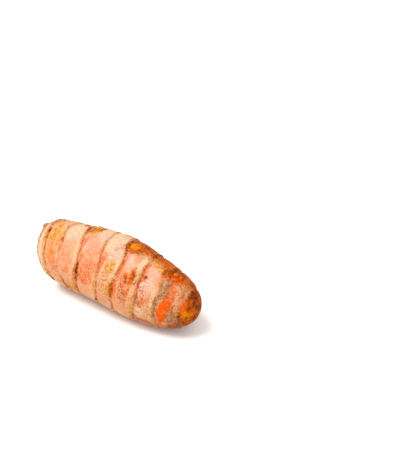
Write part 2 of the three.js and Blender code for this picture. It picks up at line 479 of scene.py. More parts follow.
    def groove(self, ring: int, angle: np.ndarray) -> np.ndarray:
        """How deep a ring's groove is. It is shallower where no dirt has settled.

        Args:
            ring: the number of the ring.
            angle: angles in radians.

        Returns:
            Depths in millimetres.
        """
        kept = self.clean_groove + (1 - self.clean_groove) * np.clip(self.rings[ring].darkness(angle), 0, 1)
        wave = 1 - self.groove_wave + self.groove_wave * np.sin(2 * angle + self.groove_turn * ring)
        return self.groove_depth * kept * wave

    def bud_distance(self, bud: Bud, x: np.ndarray, angle: np.ndarray) -> np.ndarray:
        """How far places on the skin are from a bud's middle, over the skin.

        Args:
            bud: the bud.
            x: places along X.
            angle: angles in radians.

        Returns:
            Distances in millimetres.
        """
        theta = np.array(math.radians(bud.angle))
        away = turn_between(angle, float(theta)) * self.along(x, "radius")
        return np.hypot(x - self.ring_x(bud.ring, theta) - bud.ahead, away)

    def bud_height(self, x: np.ndarray, angle: np.ndarray) -> np.ndarray:
        """The mounds under the buds, with the ringed eye on each.

        Args:
            x: places along X.
            angle: angles in radians.

        Returns:
            Heights in millimetres.
        """
        shares, heights = np.array(self.eye_profile).T
        total = np.zeros_like(x)
        for bud in self.buds:
            distance = self.bud_distance(bud, x, angle)
            total += self.mound_height * bell(distance, bud.radius * self.mound_spread)
            total += np.interp(distance / (bud.radius * self.eye_share), shares, heights, right=0)
        return total

    def relief(self, joint: int, x: np.ndarray, angle: np.ndarray) -> np.ndarray:
        """What stands proud of the plain thickness on one joint: its swell, lip, grooves and buds.

        Args:
            joint: the number of the ring behind the joint.
            x: places along X.
            angle: angles in radians.

        Returns:
            Heights in millimetres.
        """
        behind = x - self.ring_x(joint, angle)
        ahead = self.ring_x(joint + 1, angle) - x
        height = self.bud_height(x, angle)
        for hollow in self.hollows:
            turned = turn_between(angle, math.radians(hollow.angle)) / math.radians(hollow.turn)
            height -= hollow.depth * np.exp(-(((x - hollow.x) / hollow.along) ** 2) - turned**2)
        if joint == 0:
            height -= self.rim_rounding * np.clip(1 - behind / self.rim_rounding_width, 0, 1) ** 2
        else:
            height += self.swell * np.sin(math.pi * behind / (behind + ahead))
            height -= self.groove(joint, angle) * bell(behind, self.groove_ahead)
        if joint < self.last_ring:
            height += self.lip_height * bell(ahead - self.lip_place, self.lip_width)
            height -= self.groove(joint + 1, angle) * bell(ahead, self.groove_behind)
        return height

    def place(self, x: np.ndarray, radius: np.ndarray, angle: np.ndarray, middle: np.ndarray) -> np.ndarray:
        """Points round the middle line, on or above the resting surface.

        Args:
            x: places along X.
            radius: distances from the middle line.
            angle: angles in radians.
            middle: where along X the middle line is taken.

        Returns:
            Points in millimetres.
        """
        y = self.along(middle, "side") - radius * np.sin(angle)
        z = self.along(middle, "height") + radius * np.cos(angle)
        return np.stack([x + 0 * y, y, np.maximum(z, 0)], axis=-1)

    def on_skin(self, ring: int, angle: np.ndarray, ahead: np.ndarray) -> np.ndarray:
        """Points on the skin at a distance ahead of a ring, or behind it where ahead is negative.

        Args:
            ring: the number of the ring.
            angle: angles in radians.
            ahead: distances along X from the ring.

        Returns:
            Points in millimetres (n, 3).
        """
        x = self.ring_x(ring, angle) + ahead
        behind, before = self.relief(ring - 1, x, angle), self.relief(ring, x, angle)
        return self.place(x, self.plain_radius(x, angle) + np.where(ahead < 0, behind, before), angle, x)

    def scar_row(self, share: float, angle: np.ndarray) -> np.ndarray:
        """Points of the broken end, at one share of the way from its middle to its rim.

        Args:
            share: 0 at the middle and 1 at the rim.
            angle: angles in radians.

        Returns:
            Points in millimetres (n, 3).
        """
        rim_x = self.ring_x(0, angle)
        radius = share * (self.plain_radius(rim_x, angle) + self.relief(0, rim_x, angle))
        wave = math.cos(FULL_TURN * self.tissue_count * share) * math.sin(math.pi * share)
        dish = self.dish_depth * (1 - share**4)
        knob = self.knob_height * bell(radius, self.knob_radius)
        plane = self.rings[0].place * (1 - share) + rim_x * share
        return self.place(plane + dish - self.tissue_height * wave - knob, radius, angle, plane)

    def skin_row(self, joint: int, share: float, angle: np.ndarray) -> np.ndarray:
        """Points of the skin, at one share of the way along a joint.

        Args:
            joint: the number of the ring behind the joint.
            share: 0 at that ring and 1 at the next one, or at the tip.
            angle: angles in radians.

        Returns:
            Points in millimetres (n, 3).
        """
        is_tip = joint == self.last_ring
        eased = math.sin(share * math.pi / 2) if is_tip else share
        x = self.ring_x(joint, angle) * (1 - eased) + self.ring_x(joint + 1, angle) * eased
        fade = math.sqrt(max(1 - eased**4, 0)) if is_tip else 1
        radius = self.plain_radius(x, angle) + self.relief(joint, x, angle) * fade
        return self.place(x, radius, angle, x)


class Blot(NamedTuple):
    """One stain: its place along X and angle, half sizes along X and round, strength and tilt."""

    x: float
    angle: float
    along: float
    round: float
    strength: float = 1
    tilt: float = 0


# The stains of the near side, with painted shade among them.
SEEN_BLOTS: dict[Tone, tuple[Blot, ...]] = {
    # Bare skin on the crowns of the joints.
    Tone.CREAM: (
        Blot(-17.2, 2, 2.8, 6.5, 0.95, 10), Blot(-7, -8, 1.8, 3.4, 0.9), Blot(0.6, 4, 2.9, 6, 0.95, 5),
        Blot(-1.6, -15, 2, 3.5, 0.8), Blot(5.8, 38, 0.9, 2.5, 0.7), Blot(6.1, 59, 0.7, 1.2, 0.8),
        Blot(12.9, 22, 0.9, 4, 0.9), Blot(16.5, 102, 1.8, 2.5, 0.6), Blot(20.9, 62, 0.9, 4, 0.6),
        Blot(28.2, 20, 1.5, 4.4, 0.5), Blot(28.4, 4, 1, 3.4, 0.5), Blot(26.4, 100, 0.9, 0.9, 0.8),
        Blot(28.2, 88, 0.6, 1.2, 0.8), Blot(27, 113, 1.2, 0.7, 0.8), Blot(31.4, 84, 0.3, 0.5, 0.6),
    ),
    # Paler skin, almost white, where it was rubbed.
    Tone.PEARL: (
        Blot(-28.2, 34, 0.8, 6, 0.8), Blot(-27.2, 58, 0.7, 4, 0.9), Blot(-26.6, 78, 0.7, 4, 0.9),
        Blot(-25.6, 98, 0.8, 4, 0.8), Blot(-15.4, 26, 2.2, 3.4, 0.7), Blot(-17.8, 20, 1.6, 2.2, 0.8),
        Blot(-14.2, 60, 1.6, 2.2, 0.7), Blot(-8.4, 33, 2, 3, 0.7), Blot(-2.4, 60, 0.5, 3, 0.6),
        Blot(-6.2, 16, 2.2, 2.4, 0.5), Blot(-4.4, 5, 1.8, 3, 0.95), Blot(0.4, 36, 1.2, 2.4, 0.5),
        Blot(3.4, 24, 2.4, 3.2), Blot(2.6, 16, 1.8, 2.4, 0.6), Blot(1.4, 54, 0.9, 2, 0.4),
        Blot(1.7, 72, 1.1, 1.8, 0.5), Blot(8.6, 12, 1.8, 2.4, 0.8), Blot(9.8, 28, 2.4, 2.2, 0.6),
        Blot(17.6, 20, 2.6, 3.2, 0.7), Blot(17.8, 48, 2.4, 3.8), Blot(16.8, 59, 1, 2.4, 0.9),
    ),
    # Thin skin, where the flesh shows through.
    Tone.BLUSH: (
        Blot(-21.4, 84, 2.2, 4.5, 0.6), Blot(-22.5, 50, 1.8, 2.4, 0.6), Blot(-19.4, 42, 1, 3, 0.8),
        Blot(-15.8, 44, 3, 4.5, 0.5), Blot(-15, 70, 3.4, 5, 0.95), Blot(-6, 32, 3.4, 4, 0.55),
        Blot(-6.4, 55, 3.4, 4.5, 0.95), Blot(-4.6, 70, 3.4, 5, 0.95), Blot(1.2, 100, 2.4, 3, 0.5),
        Blot(10.8, 11, 1.2, 1.8, 0.9), Blot(7.8, 28, 0.7, 3, 0.8), Blot(8.2, 56, 1.6, 4, 0.8),
        Blot(7.8, 92, 1.4, 3.6, 0.9), Blot(9.4, 88, 1, 2.6, 0.5), Blot(10.5, 104, 2.4, 3, 0.5),
        Blot(17.2, 8, 1.2, 0.9, 0.9), Blot(19.3, 12, 0.8, 0.8, 0.6), Blot(17.3, 24, 1.6, 2, 0.5),
        Blot(18.2, 62, 2.4, 3.4, 0.5), Blot(25, 22, 1.1, 3.4, 0.8), Blot(27.4, 40, 1.4, 3.6, 0.6),
        Blot(28.5, 14, 1.2, 3.4), Blot(27.6, 2, 1.2, 1.4, 0.9), Blot(29, 34, 0.8, 1.8, 0.8),
    ),
    # Yellow stains beside the rings and the buds.
    Tone.OCHRE: (
        Blot(-26.6, 36, 0.5, 4, 0.7), Blot(-23.6, 28, 2.2, 3.6, 0.85, 15), Blot(-24.5, 8, 1.8, 2.5, 0.55),
        Blot(-22.2, 62, 2, 3, 0.5), Blot(-20.8, 41, 0.9, 2, 0.4), Blot(-20.6, 28, 0.9, 1.6, 0.5),
        Blot(-12.7, 112, 2, 2.6, 0.65), Blot(-11.6, -10, 2.8, 3.6), Blot(-12.4, -18, 1.8, 2.6),
        Blot(-10, -3, 2.4, 1.1, 0.9), Blot(-10.8, 104, 0.9, 4, 0.6), Blot(-0.9, 74, 0.4, 3, 0.6),
        Blot(-1.4, 94, 0.6, 4, 0.5), Blot(3.6, 50, 1.6, 3.2, 0.65, 10), Blot(4.8, 46, 1, 1.6, 0.6),
        Blot(4.4, 84, 1.5, 3.2, 0.85), Blot(1.6, 74, 1.6, 2.2, 0.3), Blot(12.1, 42, 1.3, 2, 0.85),
        Blot(11.4, 33, 0.8, 0.9, 0.3), Blot(10.5, 82, 2, 3.2, 0.15), Blot(13.6, 36, 0.5, 1.5, 0.5),
        Blot(13.3, 107, 0.9, 3, 0.8), Blot(13.9, 84, 0.5, 3, 0.6), Blot(18.9, 106, 1.5, 2, 0.3),
        Blot(17.4, -6, 3.2, 3, 0.9), Blot(19.6, -10, 2, 4.2, 0.8), Blot(27.8, 5, 1.4, 1.6, 0.6),
        Blot(31.9, 22, 0.22, 1.6, 0.9), Blot(32.3, 60, 0.35, 1.6, 0.8), Blot(32.2, 84, 0.7, 1.6, 0.8),
    ),
    # Orange marks where the skin is scratched.
    Tone.RUST: (
        Blot(-26.4, -6, 0.9, 1.6, 0.6), Blot(-21.5, 68, 1.8, 2.6, 0.5), Blot(-20.2, 66, 1.2, 2.2, 0.5),
        Blot(-19.5, 88, 1.1, 2.8, 0.5), Blot(-20.6, 39, 0.8, 1.8, 0.35), Blot(-19.8, 34, 0.5, 1.6, 0.7),
        Blot(-18.8, 50, 0.5, 1.2, 0.5), Blot(-13.6, 82, 2, 1.8, 0.4), Blot(-15.5, 88, 1.2, 1.4, 0.3),
        Blot(-10.2, 36, 0.6, 4.5, 0.45, 10), Blot(-10.6, 23, 0.8, 2, 0.6), Blot(-8.9, 54, 0.8, 2.4, 0.85),
        Blot(-4.2, 58, 2.8, 2, 0.55), Blot(-5.2, 72, 3.2, 2.4, 0.3), Blot(-5.6, 88, 2, 1.2, 0.6),
        Blot(-7.6, 79, 0.8, 2, 0.6), Blot(-2.6, 30, 0.9, 1.6, 0.6), Blot(0, 41, 1.3, 3, 0.35, 25),
        Blot(0.1, 44, 0.9, 3, 0.7), Blot(-0.1, 61, 0.5, 1.4, 0.7), Blot(6, 3, 1.2, 1.6, 0.9),
        Blot(10.8, -9, 2.2, 1.6, 0.8), Blot(4.4, -8, 0.8, 2.4, 0.2, 20), Blot(7.4, 38, 0.7, 5, 0.8),
        Blot(7.4, 12, 0.8, 1, 0.6), Blot(11.9, 52, 1.5, 2.8), Blot(7.1, 73, 0.6, 2.4, 0.8),
        Blot(10.1, 50, 1.4, 1.4, 0.9), Blot(10.6, 62, 0.9, 1.2, 0.5), Blot(9.5, 66, 1, 0.9, 0.8),
        Blot(11.2, 75, 1.1, 1.6, 0.6), Blot(11.4, 90, 0.8, 0.9, 0.6), Blot(9.1, 85, 0.7, 1, 0.5),
        Blot(11.7, 80, 0.8, 1.6, 0.6), Blot(14.8, 16, 0.6, 2.8, 0.9), Blot(15.4, 32, 0.6, 2.2, 0.8),
        Blot(15.8, 38, 0.9, 1.2, 0.8), Blot(14.8, 62, 0.5, 3, 0.5), Blot(17, 35, 0.7, 1.2, 0.45),
        Blot(17.6, 76, 1.2, 1.4, 0.55), Blot(16.7, 86, 0.7, 1.3, 0.7), Blot(19.6, 70, 1.2, 1.4, 0.4),
        Blot(21.3, 26, 0.5, 1, 0.8), Blot(24.4, 10, 2, 1.6, 0.8), Blot(27.4, -12, 1, 2.6, 0.9),
        Blot(27, -22, 1.2, 3, 0.9), Blot(27.5, 72, 0.8, 1.8, 0.9), Blot(23.1, 89, 0.5, 2.4, 0.8),
        Blot(25.4, 103, 1.2, 1.8, 0.9), Blot(26.2, 44, 1, 1.4, 0.6), Blot(26.2, 54, 1.3, 2.2, 0.9),
        Blot(23.6, 118, 1.3, 2, 0.8), Blot(25.6, 32, 1.3, 1.8, 0.7), Blot(27.1, 31, 0.7, 1.4, 0.5),
        Blot(27.2, 62, 0.9, 2.4, 0.6), Blot(23, 9, 1, 0.9, 0.9),
    ),
    # Stained skin round the buds. On the shoulder's far side, at the tip's far end and under the tip it is
    # stain and painted shade at once.
    Tone.TAWNY: (
        Blot(-11, -3, 1.3, 1.6, 0.5), Blot(-12.2, 2, 0.8, 0.7, 0.7), Blot(-9.5, 74, 0.9, 2, 0.8),
        Blot(-10.2, 84, 0.8, 2.4, 0.6), Blot(8.6, -10, 2.5, 4.2, 0.9), Blot(8.2, 1, 2.4, 1.6, 0.75),
        Blot(12.4, 47, 0.9, 3, 0.9), Blot(6.1, 74, 0.7, 1.2, 0.7), Blot(5.9, 82, 1, 2.2),
        Blot(12.2, 68, 0.8, 1.8, 0.7), Blot(20.8, 12, 0.9, 2.8, 0.4), Blot(11, -22, 8.5, 3.6),
        Blot(19.5, -18, 3, 2.6, 0.8), Blot(20.8, 2, 1, 3.4, 0.7), Blot(23, 15, 0.8, 1.2, 0.7),
        Blot(23, 88, 0.5, 2.2, 0.6), Blot(22, 9, 0.8, 1, 0.9), Blot(22, 15, 1, 1.2, 0.7),
        Blot(28.6, -24, 2.2, 1.4, 0.9), Blot(32.4, 40, 0.6, 3, 0.9), Blot(31.2, 134, 1.6, 3, 0.9),
    ),
    # Clear orange of the flesh, on buds and bruises.
    Tone.AMBER: (
        Blot(-23, 36, 1.2, 2, 0.45), Blot(-21.8, 66, 1.8, 2.6, 0.25), Blot(-10.1, -8, 0.9, 0.9, 0.3),
        Blot(-12.6, -16, 1.6, 1.6, 0.35), Blot(6.8, -4, 2, 2.2, 0.8), Blot(25.8, 68, 0.8, 1.8, 0.5),
        Blot(30.9, 78, 1.5, 2.6), Blot(31.2, 94, 1.2, 1.8), Blot(31.2, 10, 0.28, 2),
        Blot(31.6, 124, 0.8, 0.9, 0.6),
    ),
    # Raw patches where the skin is scraped away.
    Tone.EMBER: (
        Blot(9.9, 50, 0.7, 0.9), Blot(8.6, -13, 2, 1.8, 0.75), Blot(24, 1, 2.8, 2.4), Blot(26.2, 68, 1.4, 2),
        Blot(25.4, 80, 1.7, 2.6, 0.9), Blot(24.6, 93, 1.4, 2.6), Blot(24.2, 106, 1.1, 2.2, 0.8),
        Blot(24.6, 74, 0.9, 2.2, 0.9), Blot(31.4, 62, 0.5, 1.4, 0.7), Blot(30.5, 50, 0.8, 3, 0.75),
        Blot(30.9, 28, 0.6, 1.8, 0.5), Blot(30.4, 66, 0.7, 1.4, 0.9), Blot(31.8, 68, 0.5, 1.8, 0.7),
        Blot(29.6, -24, 0.8, 3, 0.9), Blot(31.4, -40, 0.8, 2.6, 0.9),
    ),
    # Brown dirt. Along the shoulder's far side (angles -16 to -38), round the tip's far end and along the
    # underside (119 to 130) it is dirt and painted shade at once.
    Tone.UMBER: (
        Blot(-25.2, -16, 0.8, 1.8, 0.8, 30), Blot(-15.9, 106, 0.7, 1.5, 0.6), Blot(-14.3, 121, 1.7, 2, 0.6),
        Blot(-11.4, 3, 1.5, 0.4, 0.5), Blot(-8.9, -11, 0.5, 1.6, 0.8, 15),
        Blot(-12.6, -20, 0.7, 1.5, 0.8, 20), Blot(-13.6, -4, 0.5, 1.2, 0.7), Blot(-8.7, 82, 0.5, 1.5, 0.7),
        Blot(-11.2, 112, 0.8, 2.4, 0.35), Blot(-9.2, 72, 0.7, 1.8, 0.75), Blot(6.2, 18, 0.5, 1.2, 0.4),
        Blot(5.4, 88, 0.6, 1.4, 0.2), Blot(5.8, 77, 0.5, 1.6, 0.3), Blot(13.2, 41, 0.4, 1.6, 0.6, 10),
        Blot(12.1, 40, 0.5, 0.7, 0.8), Blot(13.6, 54, 0.3, 2, 0.6, 10), Blot(12.9, 47, 0.5, 0.8, 0.5),
        Blot(10.2, 52, 0.5, 0.6, 0.8), Blot(15.3, 41, 0.6, 1.2, 0.45), Blot(16.3, 35, 0.7, 0.7, 0.75),
        Blot(16, 124, 5, 2.2, 0.6), Blot(10, -38, 9, 2.2, 0.9), Blot(9.2, -20, 1.2, 1, 0.7),
        Blot(5, -19, 1, 1, 0.7), Blot(11.8, -18, 1.8, 0.9, 0.6, 10), Blot(15.4, -18, 1.4, 1, 0.45),
        Blot(22, -6, 0.5, 2.2, 0.8), Blot(22.6, -17, 0.7, 1.6, 0.8), Blot(25, -20, 1.4, 0.8, 0.9, 15),
        Blot(22.7, 24, 0.8, 1.8, 0.3), Blot(22.4, 68, 0.4, 2, 0.5), Blot(22, 84, 0.3, 3, 0.6),
        Blot(24.5, 52, 0.9, 1.8, 0.8), Blot(24.9, 33, 0.8, 1.2, 0.5), Blot(23.4, 88, 0.3, 3, 0.4),
        Blot(24.2, 20, 0.7, 1.2, 0.8, 10), Blot(29.8, 92, 0.5, 1.6, 0.8), Blot(23.4, -23, 2, 1.2),
        Blot(22.5, -9, 0.7, 1.4, 0.6), Blot(20.8, 3, 0.8, 1.8, 0.7), Blot(29.6, -30, 2, 1, 0.9),
        Blot(31.9, -30, 0.7, 1.2, 0.8), Blot(27, 130, 2.4, 2.6, 0.9), Blot(29.5, 127, 1.1, 1.2, 0.5),
        Blot(28.3, 119, 1.4, 1, 0.7), Blot(31.8, 52, 0.5, 2.2, 0.8), Blot(32.2, 20, 0.3, 1.6, 0.8),
        Blot(30.6, 122, 0.9, 2.4, 0.8), Blot(32.2, 150, 0.6, 2.4, 0.8), Blot(30.6, -16, 0.9, 3, 0.95),
    ),
    # Grey-brown remains of the scale leaves.
    Tone.ASH: (
        Blot(-30.1, 12, 0.6, 1.5, 0.7), Blot(-29.2, 26, 0.4, 1.2, 0.5), Blot(-27.7, 76, 0.4, 1, 0.6),
        Blot(-26.4, 88, 0.5, 1.2, 0.7), Blot(3.7, 13, 1.2, 2, 0.4, 25), Blot(23.5, 20, 1, 1.4, 0.6),
        Blot(23.2, 29, 1.5, 2, 0.95), Blot(22.4, 24, 0.8, 2, 0.4), Blot(23.5, 42, 1.3, 2.4, 0.85),
        Blot(22.9, 54, 1, 1.6, 0.45), Blot(22.4, 70, 1, 3, 0.8), Blot(22.2, 92, 0.8, 2.8, 0.9),
        Blot(22.6, 110, 0.8, 2, 0.8), Blot(28.5, 62, 0.8, 2.4, 0.35), Blot(27.3, 92, 1.4, 2.4, 0.9),
        Blot(27.6, 106, 1.3, 2.6, 0.9),
    ),
    # The darkest marks, which are also sunk into the skin. The wide one at -42 on the shoulder is painted
    # shade as well.
    Tone.SOOT: (
        Blot(-16.1, -13, 0.35, 1, 0.7, 25), Blot(-8.1, 81, 0.5, 0.8, 0.5, 35), Blot(11.2, 63, 0.3, 0.4, 0.6),
        Blot(10.8, 78, 0.4, 0.5, 0.6), Blot(9.4, 73, 0.3, 0.4, 0.5), Blot(10.3, 54.5, 0.35, 0.4, 0.8),
        Blot(10.4, 58, 0.5, 0.6, 0.9), Blot(11.4, -42, 3, 1.6, 0.5), Blot(9.2, -19, 1.1, 0.8, 0.5),
        Blot(5.2, -19, 0.9, 0.7, 0.4), Blot(14.6, -18, 1.8, 0.7, 0.3), Blot(23.6, -21, 1.4, 0.8, 0.65),
        Blot(22.6, -10, 0.5, 1.2, 0.5), Blot(30.3, -2, 0.5, 2, 0.7), Blot(31.8, 0, 0.4, 2.4, 0.6),
        Blot(32.3, 110, 0.35, 0.6, 0.6), Blot(31.3, 105, 0.4, 0.7, 0.7), Blot(31, -12, 0.6, 3, 0.5),
    ),
    # Where fine brown specks crowd.
    Tone.GRIT: (
        Blot(3, 80, 3, 6, 0.6), Blot(10.5, 70, 3, 6, 0.9), Blot(17.5, 80, 3.2, 7, 0.8),
        Blot(17, 30, 3.2, 5, 0.4), Blot(23, 36, 1.8, 5, 0.9), Blot(28, 98, 3, 5),
        Blot(28.5, 15, 3.4, 9, 0.45), Blot(3.4, 12, 2, 3, 0.6), Blot(-5, 80, 3, 3, 0.3),
        Blot(31.5, 120, 1.5, 3, 0.6), Blot(21, 100, 2, 5, 0.8), Blot(22.4, 84, 1.2, 5, 0.9),
        Blot(23.2, 52, 1.2, 3, 0.8), Blot(-14, 110, 4, 4, 0.4),
    ),
}

def seen_blots() -> list[tuple[Tone, Blot]]:
    """The near side's stains one by one, each with its tone."""
    return [(tone, blot) for tone, blots in SEEN_BLOTS.items() for blot in blots]


@dataclass(frozen=True)
class HiddenBlots:
    """The rule that stains the far side and the underside as the near side is stained.

    Each kind has its tone, half sizes along X and round, and strength.
    """

    seed: int = 41
    count: int = 110
    angles: tuple[float, float] = (138, 322)
    ends: tuple[float, float] = (-27.0, 30.0)
    sizes: tuple[float, float] = (0.6, 1.3)
    tilts: tuple[float, float] = (-35, 35)
    kinds: tuple[tuple[Tone, float, float, float], ...] = (
        (Tone.BLUSH, 2.6, 4.0, 0.6), (Tone.CREAM, 2.0, 3.5, 0.8), (Tone.RUST, 1.2, 1.8, 0.7),
        (Tone.OCHRE, 1.4, 2.2, 0.7), (Tone.BLUSH, 1.5, 2.4, 0.7), (Tone.UMBER, 0.8, 1.4, 0.6),
        (Tone.RUST, 0.6, 2.2, 0.7), (Tone.ASH, 0.9, 1.8, 0.6), (Tone.EMBER, 0.9, 1.3, 0.6),
        (Tone.SOOT, 0.4, 0.5, 0.7), (Tone.GRIT, 3.0, 6.0, 0.8),
    )

    def drawn(self) -> list[tuple[Tone, Blot]]:
        """The stains, drawn in a fixed order from the seed.

        Returns:
            As many stains as the count, of each kind in turn, each with its tone.
        """
        draw = np.random.default_rng(self.seed)
        blots = []
        for number in range(self.count):
            tone, along, around, strength = self.kinds[number % len(self.kinds)]
            size, x, angle, tilt = (
                draw.uniform(*span) for span in (self.sizes, self.ends, self.angles, self.tilts)
            )
            blots.append((tone, Blot(x, angle, along * size, around * size, strength, tilt)))
        return blots


class Veil(NamedTuple):
    """One use of the grain: its strength, its number among the seeds, and its cell size and octaves."""

    strength: float
    number: int
    size: float
    octaves: int


@dataclass(frozen=True)
class Ground:
    """The bare surface that the stains are laid on, by row and angle."""

    form: FingerForm
    seed: int
    points: np.ndarray
    joints: np.ndarray
    turn: np.ndarray
    radius: np.ndarray

    @property
    def x(self) -> np.ndarray:
        """Each point's place along X."""
        return self.points[..., 0]

    @property
    def on_skin(self) -> np.ndarray:
        """1 for each row of the skin and 0 for each row of the broken end."""
        return (self.joints >= 0)[:, None].astype(float)

    def veil(self, veil: Veil) -> np.ndarray:
        """One use of the grain, at every point."""
        return veil.strength * Grain(self.seed + veil.number).at(self.points, veil.size, veil.octaves)

    def away(self, angle: float) -> np.ndarray:
        """How far round every point is from an angle in degrees, in millimetres over the skin."""
        return turn_between(self.turn, math.radians(angle)) * self.radius

    def facing(self, angle: float) -> np.ndarray:
        """How squarely every point faces an angle in degrees, from -1 to 1."""
        return np.cos(self.turn - math.radians(angle))


class ToneCover:
    """How strongly each tone covers each point, from 0 to 1."""

    def __init__(self, shape: tuple[int, ...]) -> None:
        """Starts with every tone at nothing."""
        self.values = {tone: np.zeros(shape) for tone in Tone}

    def lay(self, tone: Tone, value: np.ndarray, rows: slice = slice(None)) -> None:
        """Lays more of a tone over what is there.

        Args:
            tone: the tone.
            value: how strongly it covers each point.
            rows: the rows it is laid on.
        """
        bare = 1 - self.values[tone][rows]
        self.values[tone][rows] = 1 - bare * (1 - value)

    def lift(self, tone: Tone, value: np.ndarray) -> None:
        """Lifts a tone to a value wherever it is weaker."""
        self.values[tone] = np.maximum(self.values[tone], value)

    def clear(self, share: np.ndarray) -> None:
        """Takes a share of every tone away."""
        for values in self.values.values():
            values *= 1 - share


class StainLayer(Protocol):
    """Stains of one kind."""

    def lay(self, ground: Ground, cover: ToneCover) -> None:
        """Lays the stains on the ground."""


@dataclass(frozen=True)
class SeparateStains:
    """The separate stains, with ragged edges and middles that wander."""

    hidden: HiddenBlots = HiddenBlots()
    edges: tuple[Veil, ...] = (Veil(0.42, 0, 1.5, 3), Veil(0.22, 1, 0.5, 2))
    shift: Veil = Veil(0.45, 2, 2.4, 2)
    slide: Veil = Veil(0.45, 3, 2.4, 2)
    fading: Ramp = Ramp(0.25, 1.5)

    def lay(self, ground: Ground, cover: ToneCover) -> None:
        """Lays the near side's stains and then the hidden ones.

        Args:
            ground: the bare surface.
            cover: the tones so far.
        """
        ragged = sum(ground.veil(edge) for edge in self.edges)
        shift, slide = ground.veil(self.shift), ground.veil(self.slide)
        for tone, blot in (*seen_blots(), *self.hidden.drawn()):
            dx = ground.x - blot.x + shift
            ds = ground.away(blot.angle) + slide
            cos, sin = math.cos(math.radians(blot.tilt)), math.sin(math.radians(blot.tilt))
            far = np.hypot((dx * cos + ds * sin) / blot.along, (ds * cos - dx * sin) / blot.round)
            cover.lay(tone, blot.strength * (1 - self.fading.at(far + ragged)) * ground.on_skin)


@dataclass(frozen=True)
class Washes:
    """The broad washes: over the tip, along the back of the shoulder as stain and painted shade, and along
    the underside as painted shade.

    The tip's wash is crossed by fine growth arcs. Each arc has its tone, its strength and the part of
    the arc's wave that it takes up. A bay is a stretch round the tip where the wash starts further on:
    how much further, its angle in degrees and its half width in radians.
    """

    wander: Veil = Veil(0.5, 6, 2.0, 3)
    tip_start: float = 29.4
    tip_bays: tuple[tuple[float, float, float], ...] = ((0.9, 18, 0.65), (1.2, 128, 0.5))
    tip_edge: Ramp = Ramp(-0.3, 0.7)
    # The back of the shoulder: tawny that is stain and painted shade at once.
    back_stain_and_shade_strength: float = 0.65
    back_angle: float = -38
    back_wander: Veil = Veil(0.16, 7, 5.0, 3)
    back_edge: Ramp = Ramp(0.6, 1.0)
    back_ends: tuple[Ramp, ...] = (Ramp(2, 8), Ramp(32, 29))
    arc_pitch: float = 1.15
    arc_wander: Veil = Veil(0.9, 10, 1.8, 3)
    arc_angle: float = -40
    arc_edge: Ramp = Ramp(-0.2, 0.8)
    arcs: tuple[tuple[Tone, float, Ramp], ...] = (
        (Tone.UMBER, 1, Ramp(0.2, 0.7)), (Tone.EMBER, 0.7, Ramp(0.75, 0.3)),
        (Tone.OCHRE, 0.9, Ramp(0.2, 0.04)), (Tone.SOOT, 0.4, Ramp(0.75, 1.0)),
    )
    streak_start: Ramp = Ramp(25.6, 27)
    streak_angle: float = 25
    streak_edge: Ramp = Ramp(-0.3, 0.6)
    streak_patches: Veil = Veil(1.2, 11, 2.2, 2)
    streaks: tuple[tuple[Tone, float, Ramp], ...] = (
        (Tone.RUST, 0.55, Ramp(0.45, 0.85)), (Tone.UMBER, 0.15, Ramp(0.6, 1.0)),
    )
    # Painted shade: umber along the underside, where shade falls under the finger.
    underside_shade_strength: float = 0.5
    underside_shade_edges: tuple[Ramp, ...] = (Ramp(112, 130), Ramp(215, 195))
    underside_shade_start: Ramp = Ramp(12, 26)

    def lay(self, ground: Ground, cover: ToneCover) -> None:
        """Lays the washes.

        Args:
            ground: the bare surface.
            cover: the tones so far.
        """
        x = ground.x + ground.veil(self.wander)
        tip = self._tip(ground, x)
        # Tawny along the shoulder's far side, stain and painted shade at once.
        turned_back = ground.facing(self.back_angle) + ground.veil(self.back_wander)
        back = self.back_stain_and_shade_strength * self.back_edge.at(turned_back)
        for end in self.back_ends:
            back = back * end.at(x)
        wave = ripple(FULL_TURN * (ground.x + ground.veil(self.arc_wander)) / self.arc_pitch)
        crossed = tip * self.arc_edge.at(ground.facing(self.arc_angle))
        patches = np.clip(0.5 + ground.veil(self.streak_patches), 0, 1)
        streaked = self.streak_start.at(x) * self.streak_edge.at(ground.facing(self.streak_angle)) * patches
        # Painted shade along the underside, in umber.
        under = self.underside_shade_strength * self.underside_shade_start.at(x)
        for edge in self.underside_shade_edges:
            under = under * edge.at(np.degrees(ground.turn))
        laid = [(Tone.TAWNY, tip), (Tone.TAWNY, back)]
        laid += [(tone, strength * crossed * part.at(wave)) for tone, strength, part in self.arcs]
        laid += [(tone, strength * streaked * part.at(wave)) for tone, strength, part in self.streaks]
        laid += [(Tone.UMBER, under)]
        for tone, wash in laid:
            cover.lay(tone, wash * ground.on_skin)

    def _tip(self, ground: Ground, x: np.ndarray) -> np.ndarray:
        """Where the tip's wash lies.

        Args:
            ground: the bare surface.
            x: places along X, with the wash's wander.

        Returns:
            Numbers from 0 to 1, at each point.
        """
        start = self.tip_start
        for depth, angle, width in self.tip_bays:
            start = start + depth * bell(turn_between(ground.turn, math.radians(angle)), width)
        return self.tip_edge.at(x - start)


class Band(NamedTuple):
    """A soft band along a ring: its strength, how far ahead of the ring it is, and its half widths."""

    strength: float
    ahead: float
    back_width: float
    front_width: float

    def over(self, off: np.ndarray) -> np.ndarray:
        """The band's strength at each distance ahead of the ring."""
        near = off - self.ahead
        return self.strength * bell(near, np.where(near > 0, self.front_width, self.back_width))


